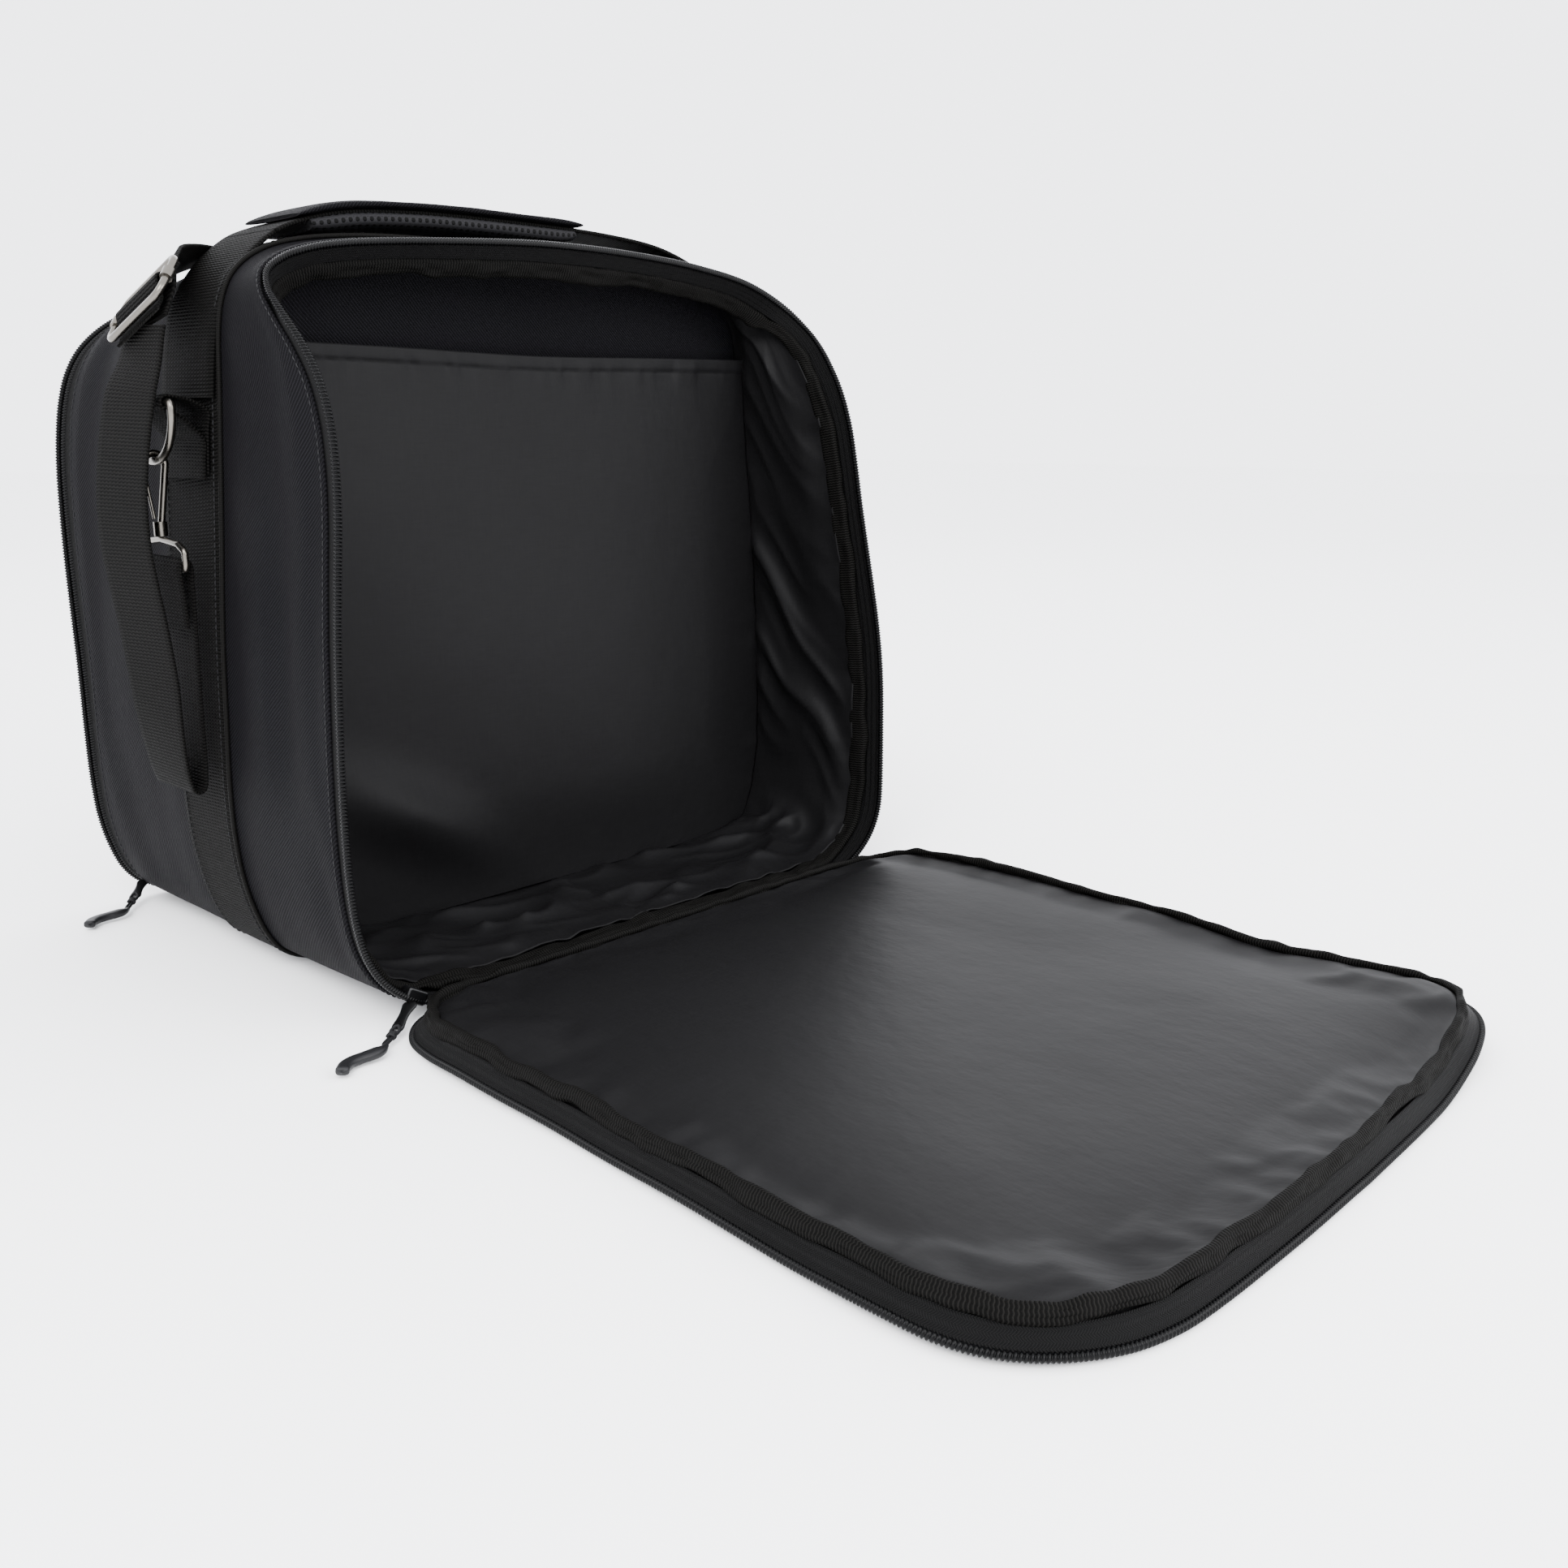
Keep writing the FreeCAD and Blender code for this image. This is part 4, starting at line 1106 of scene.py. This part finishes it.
def build_ring_tabs():
    """Webbing folded round each ring's bar and sewn flat to the belt below it."""
    turn = np.radians(np.linspace(-60, 115, 16))
    near = belt_points((236, 245, 253), 3.9)
    far = belt_points((266, 258, 248, 237.5), 2.3)
    around = stack(-187 - 3.1 * np.cos(turn), np.full(16, MID), 270 + 3.1 * np.sin(turn))
    route = np.concatenate([near, [(-175.0, MID, 258.0), (-181.5, MID, 264.0)], around, [(-178, MID, 271.6)], far])
    route = smooth_path(route, 1.2)
    for side, flip in (("left", 1), ("right", -1)):
        name = side + "_ring_webbing"
        mirrored = route * np.array([flip, 1, 1])
        piece(name, skin(sweep(mirrored, Y_AXIS, band_section(STRAP_WIDTH, 1.4, 10))), "webbing", "body",
            stands_for=[side + "_ring_tab"])


# The strap's middle line and width direction: over the left corner and along the top, then its free run down the side.
STRAP_TOP = [((-186.0, -4, 302.5), (0, 1, -0.1)), ((-180, -1, 311), (0.05, 1, -0.15)),
    ((-173, 9, 320), (0.12, 1, -0.25)), ((-160, 29, 328), (0.2, 1, -0.25)), ((-140, 46, 335.5), (0.2, 1, -0.15)),
    ((-118, 51, 341.5), (0.1, 1, -0.05)), ((-95, 51, 346.5), (0, 1, 0)), ((-70, 51, 348), (0, 1, 0))]
STRAP_OUTER = [(-185.6, -4.0, 303), (-189.4, -3.6, 288), (-194.9, -3, 274), (-198.2, -3, 261), (-201, -3, 247),
    (-203.7, -3, 227), (-204, -3, 208), (-202.3, -3, 190), (-200.6, -3, 176), (-199, -3, 160), (-197.8, -3, 145),
    (-197, -3, 128), (-195.4, -3, 110), (-193.6, -3, 99)]
STRAP_INNER = [(-191.4, -3, 93.6), (-187.6, -3, 94.2), (-185.8, -3, 104), (-185.2, -3, 130), (-184.4, -3, 160),
    (-183.6, -3, 190), (-184.0, -3, 199.5), (-187.8, -3, 201.4), (-189.6, -3, 197.0), (-188.6, -3, 184.0),
    (-187.8, -3, 170.0)]
STRAP_END = [(-185.6, -4.0, 303), (-192, -3.0, 283), (-204, -2, 258), (-200.5, -2, 232), (-190.6, -2, 197.5),
    (-190.4, -2, 193.6), (-183.6, -2, 193.6), (-183.6, -2, 200.6), (-188.8, -2, 201.0), (-197.2, -2, 232)]


def build_adjuster_fold():
    """The strap's doubled end where it wraps the adjuster's middle bar."""
    centre, along = np.array([-179.6, -0.4, 311.5]), unit(np.array([0.58, 0.40, 0.71]))
    across = np.array([-0.12, 0.90, -0.40])
    across = unit(across - along * (across @ along))
    out = np.cross(along, across)
    out = out if out[0] < 0 else -out
    bends = [(-15, 1.9), (-8, 2.4), (-3.4, 6.2), (0, 7.9), (3.4, 6.2), (8, 2.6), (14, 1.9)]
    route = smooth_path([centre + along * a + out * o for a, o in bends], 1.0)
    rings = sweep(route, across, band_section(38, 1.5, 12))
    piece("strap_fold", skin(rings), "webbing", "body")


def build_straps():
    """The shoulder strap: over the top behind the handle, with a slack loop on the left and a sewn end on the right."""
    keys, turns = np.array([k for k, _ in STRAP_TOP], float), np.array([w for _, w in STRAP_TOP], float)
    left = smooth_path(keys, 3.0)
    across = stack(*[np.interp(left[:, 0], keys[:, 0], turns[:, k]) for k in range(3)])
    flip = np.array([-1, 1, 1])
    section = band_section(STRAP_WIDTH, 1.6, 12)
    route, side = np.concatenate([left, (left * flip)[::-1]]), np.concatenate([across, (across * flip)[::-1]])
    piece("strap_over_top", skin(sweep(route, side, section)), "webbing", "body", stands_for=["shoulder_strap"])
    route = smooth_path(STRAP_OUTER + STRAP_INNER, 1.8)
    tilt = stack(-0.14 * ease(route[:, 2], 92, 150) * ease(-route[:, 0], 186, 196), np.ones(len(route)),
        np.zeros(len(route)))
    bend = ("body", "left_ring", (-0.19, 0, 0.303), (-0.19, 0, 0.262))
    piece("strap_slack_loop", skin(sweep(route, tilt, section)), "webbing", bend=bend, stands_for=["strap_loop_left"])
    route = rounded_route([(-x, y, z) for x, y, z in STRAP_END], 4.0)
    bend = ("body", "right_ring", (0.19, 0, 0.303), (0.19, 0, 0.262))
    piece("strap_sewn_end", skin(sweep(route, Y_AXIS, section)), "webbing", bend=bend, stands_for=["strap_end_right"])


# ---- zip pulls

# Where each pull's tab starts, where its cord joins, where its grip starts and where it ends.
PULLS = {"front": ((-151.6, -131.0, 8.6), (-168.2, -143.6, 3.0), (-178.0, -151.0, 2.8), (-206.0, -162.5, 2.7)),
    "rear": ((-159.5, 129.0, 10.6), (-169.6, 119.4, 4.6), (-177.6, 110.4, 2.9), (-204.0, 97.5, 2.7))}


def build_pulls():
    """Each slider's polished tab, its doubled cord with a knot, and a wavy moulded grip."""
    t = np.linspace(0, 1, 48)
    for side, places in PULLS.items():
        anchor, joint, knot, tip = (np.array(p, float) for p in places)
        across = unit(np.cross(UP, joint - anchor))
        route = anchor + (joint - anchor) * t[:, None] + UP * (0.5 * np.sin(math.pi * t))[:, None]
        waist = 3.1 + 0.5 * np.cos(2 * math.pi * t) - 0.5 * t
        piece(side + "_tab", skin(tapered(route, across, waist * round_end(t, 0.16), 0.9 * round_end(t, 0.05))),
            "black_metal", side + "_pull_tab", stands_for=[side + "_pull_tab"])
        along = unit(knot - joint)
        over = unit(np.cross(UP, along))
        strand = [knot + along * 2, knot + over * 0.7, joint + along * 4.2 + over * 0.8,
            joint + over * 1.9 + UP * 1.0, joint - along * 2.6 + UP * 1.9, joint - over * 1.9 + UP * 0.9,
            joint + along * 4.2 - over * 0.8, knot - over * 0.7, knot + along * 2]
        cord = smooth_path(strand, 0.5)
        round_cord = oval((0, 0), (0.8, 0.8), 8)
        piece(side + "_cord", skin(sweep(cord, UP + 0.2 * over, round_cord)), "pull_cord", side + "_pull_grip",
            stands_for=[side + "_pull_cord"])
        wind = np.linspace(0, 5 * math.pi, 60)[:, None]
        coil = joint + along * 3.4 + along * (wind / math.pi * 0.5)
        coil = coil + over * 1.5 * np.cos(wind) + UP * (1.2 * np.sin(wind) + 0.3)
        piece(side + "_knot", skin(sweep(coil, along, round_cord)), "pull_cord", side + "_pull_grip")
        along = unit(tip - knot)
        over = unit(np.cross(UP, along))
        route = knot + (tip - knot) * t[:, None] + over * (2.6 * np.sin(2 * math.pi * t + 0.3))[:, None]
        route = route + UP * (0.25 * np.sin(7 * t))[:, None]
        body = 0.45 + 0.55 * ease(t, 0.02, 0.30)
        groove = 1 - 0.06 * ease(np.sin(16 * t), 0.4, 0.9)
        body = body * round_end(t, 0.07)
        rings = tapered(route, over, 3.1 * body * groove, 2.0 * body, 22, 0.7)
        piece(side + "_grip", skin(rings), "grip_rubber", side + "_pull_grip", stands_for=[side + "_pull_grip"])


# ---- metal parts taken from the frame

METAL = {
    "nickel": ("left_d_ring", "right_d_ring", "left_hook", "right_hook", "left_gate", "right_gate", "slide_adjuster",
               "adjuster_bar"),
    "black_metal": ("front_slider", "rear_slider"),
}


def finish_metal():
    for material, names in METAL.items():
        for name in names:
            node = frame["nodes"][name]
            if not node.material_slots:
                node.data.materials.append(MATERIALS[material])
            for place_slot in node.material_slots:
                place_slot.link = "OBJECT"
                place_slot.material = MATERIALS[material]


# ---- the whole scene

add_camera()
MATERIALS = make_materials()
add_studio()
build_gussets()
build_linings()
build_divider()
build_rims()
build_hinges()
build_belt()
build_doors()
build_handle()
build_ring_tabs()
build_adjuster_fold()
build_straps()
build_pulls()
finish_metal()
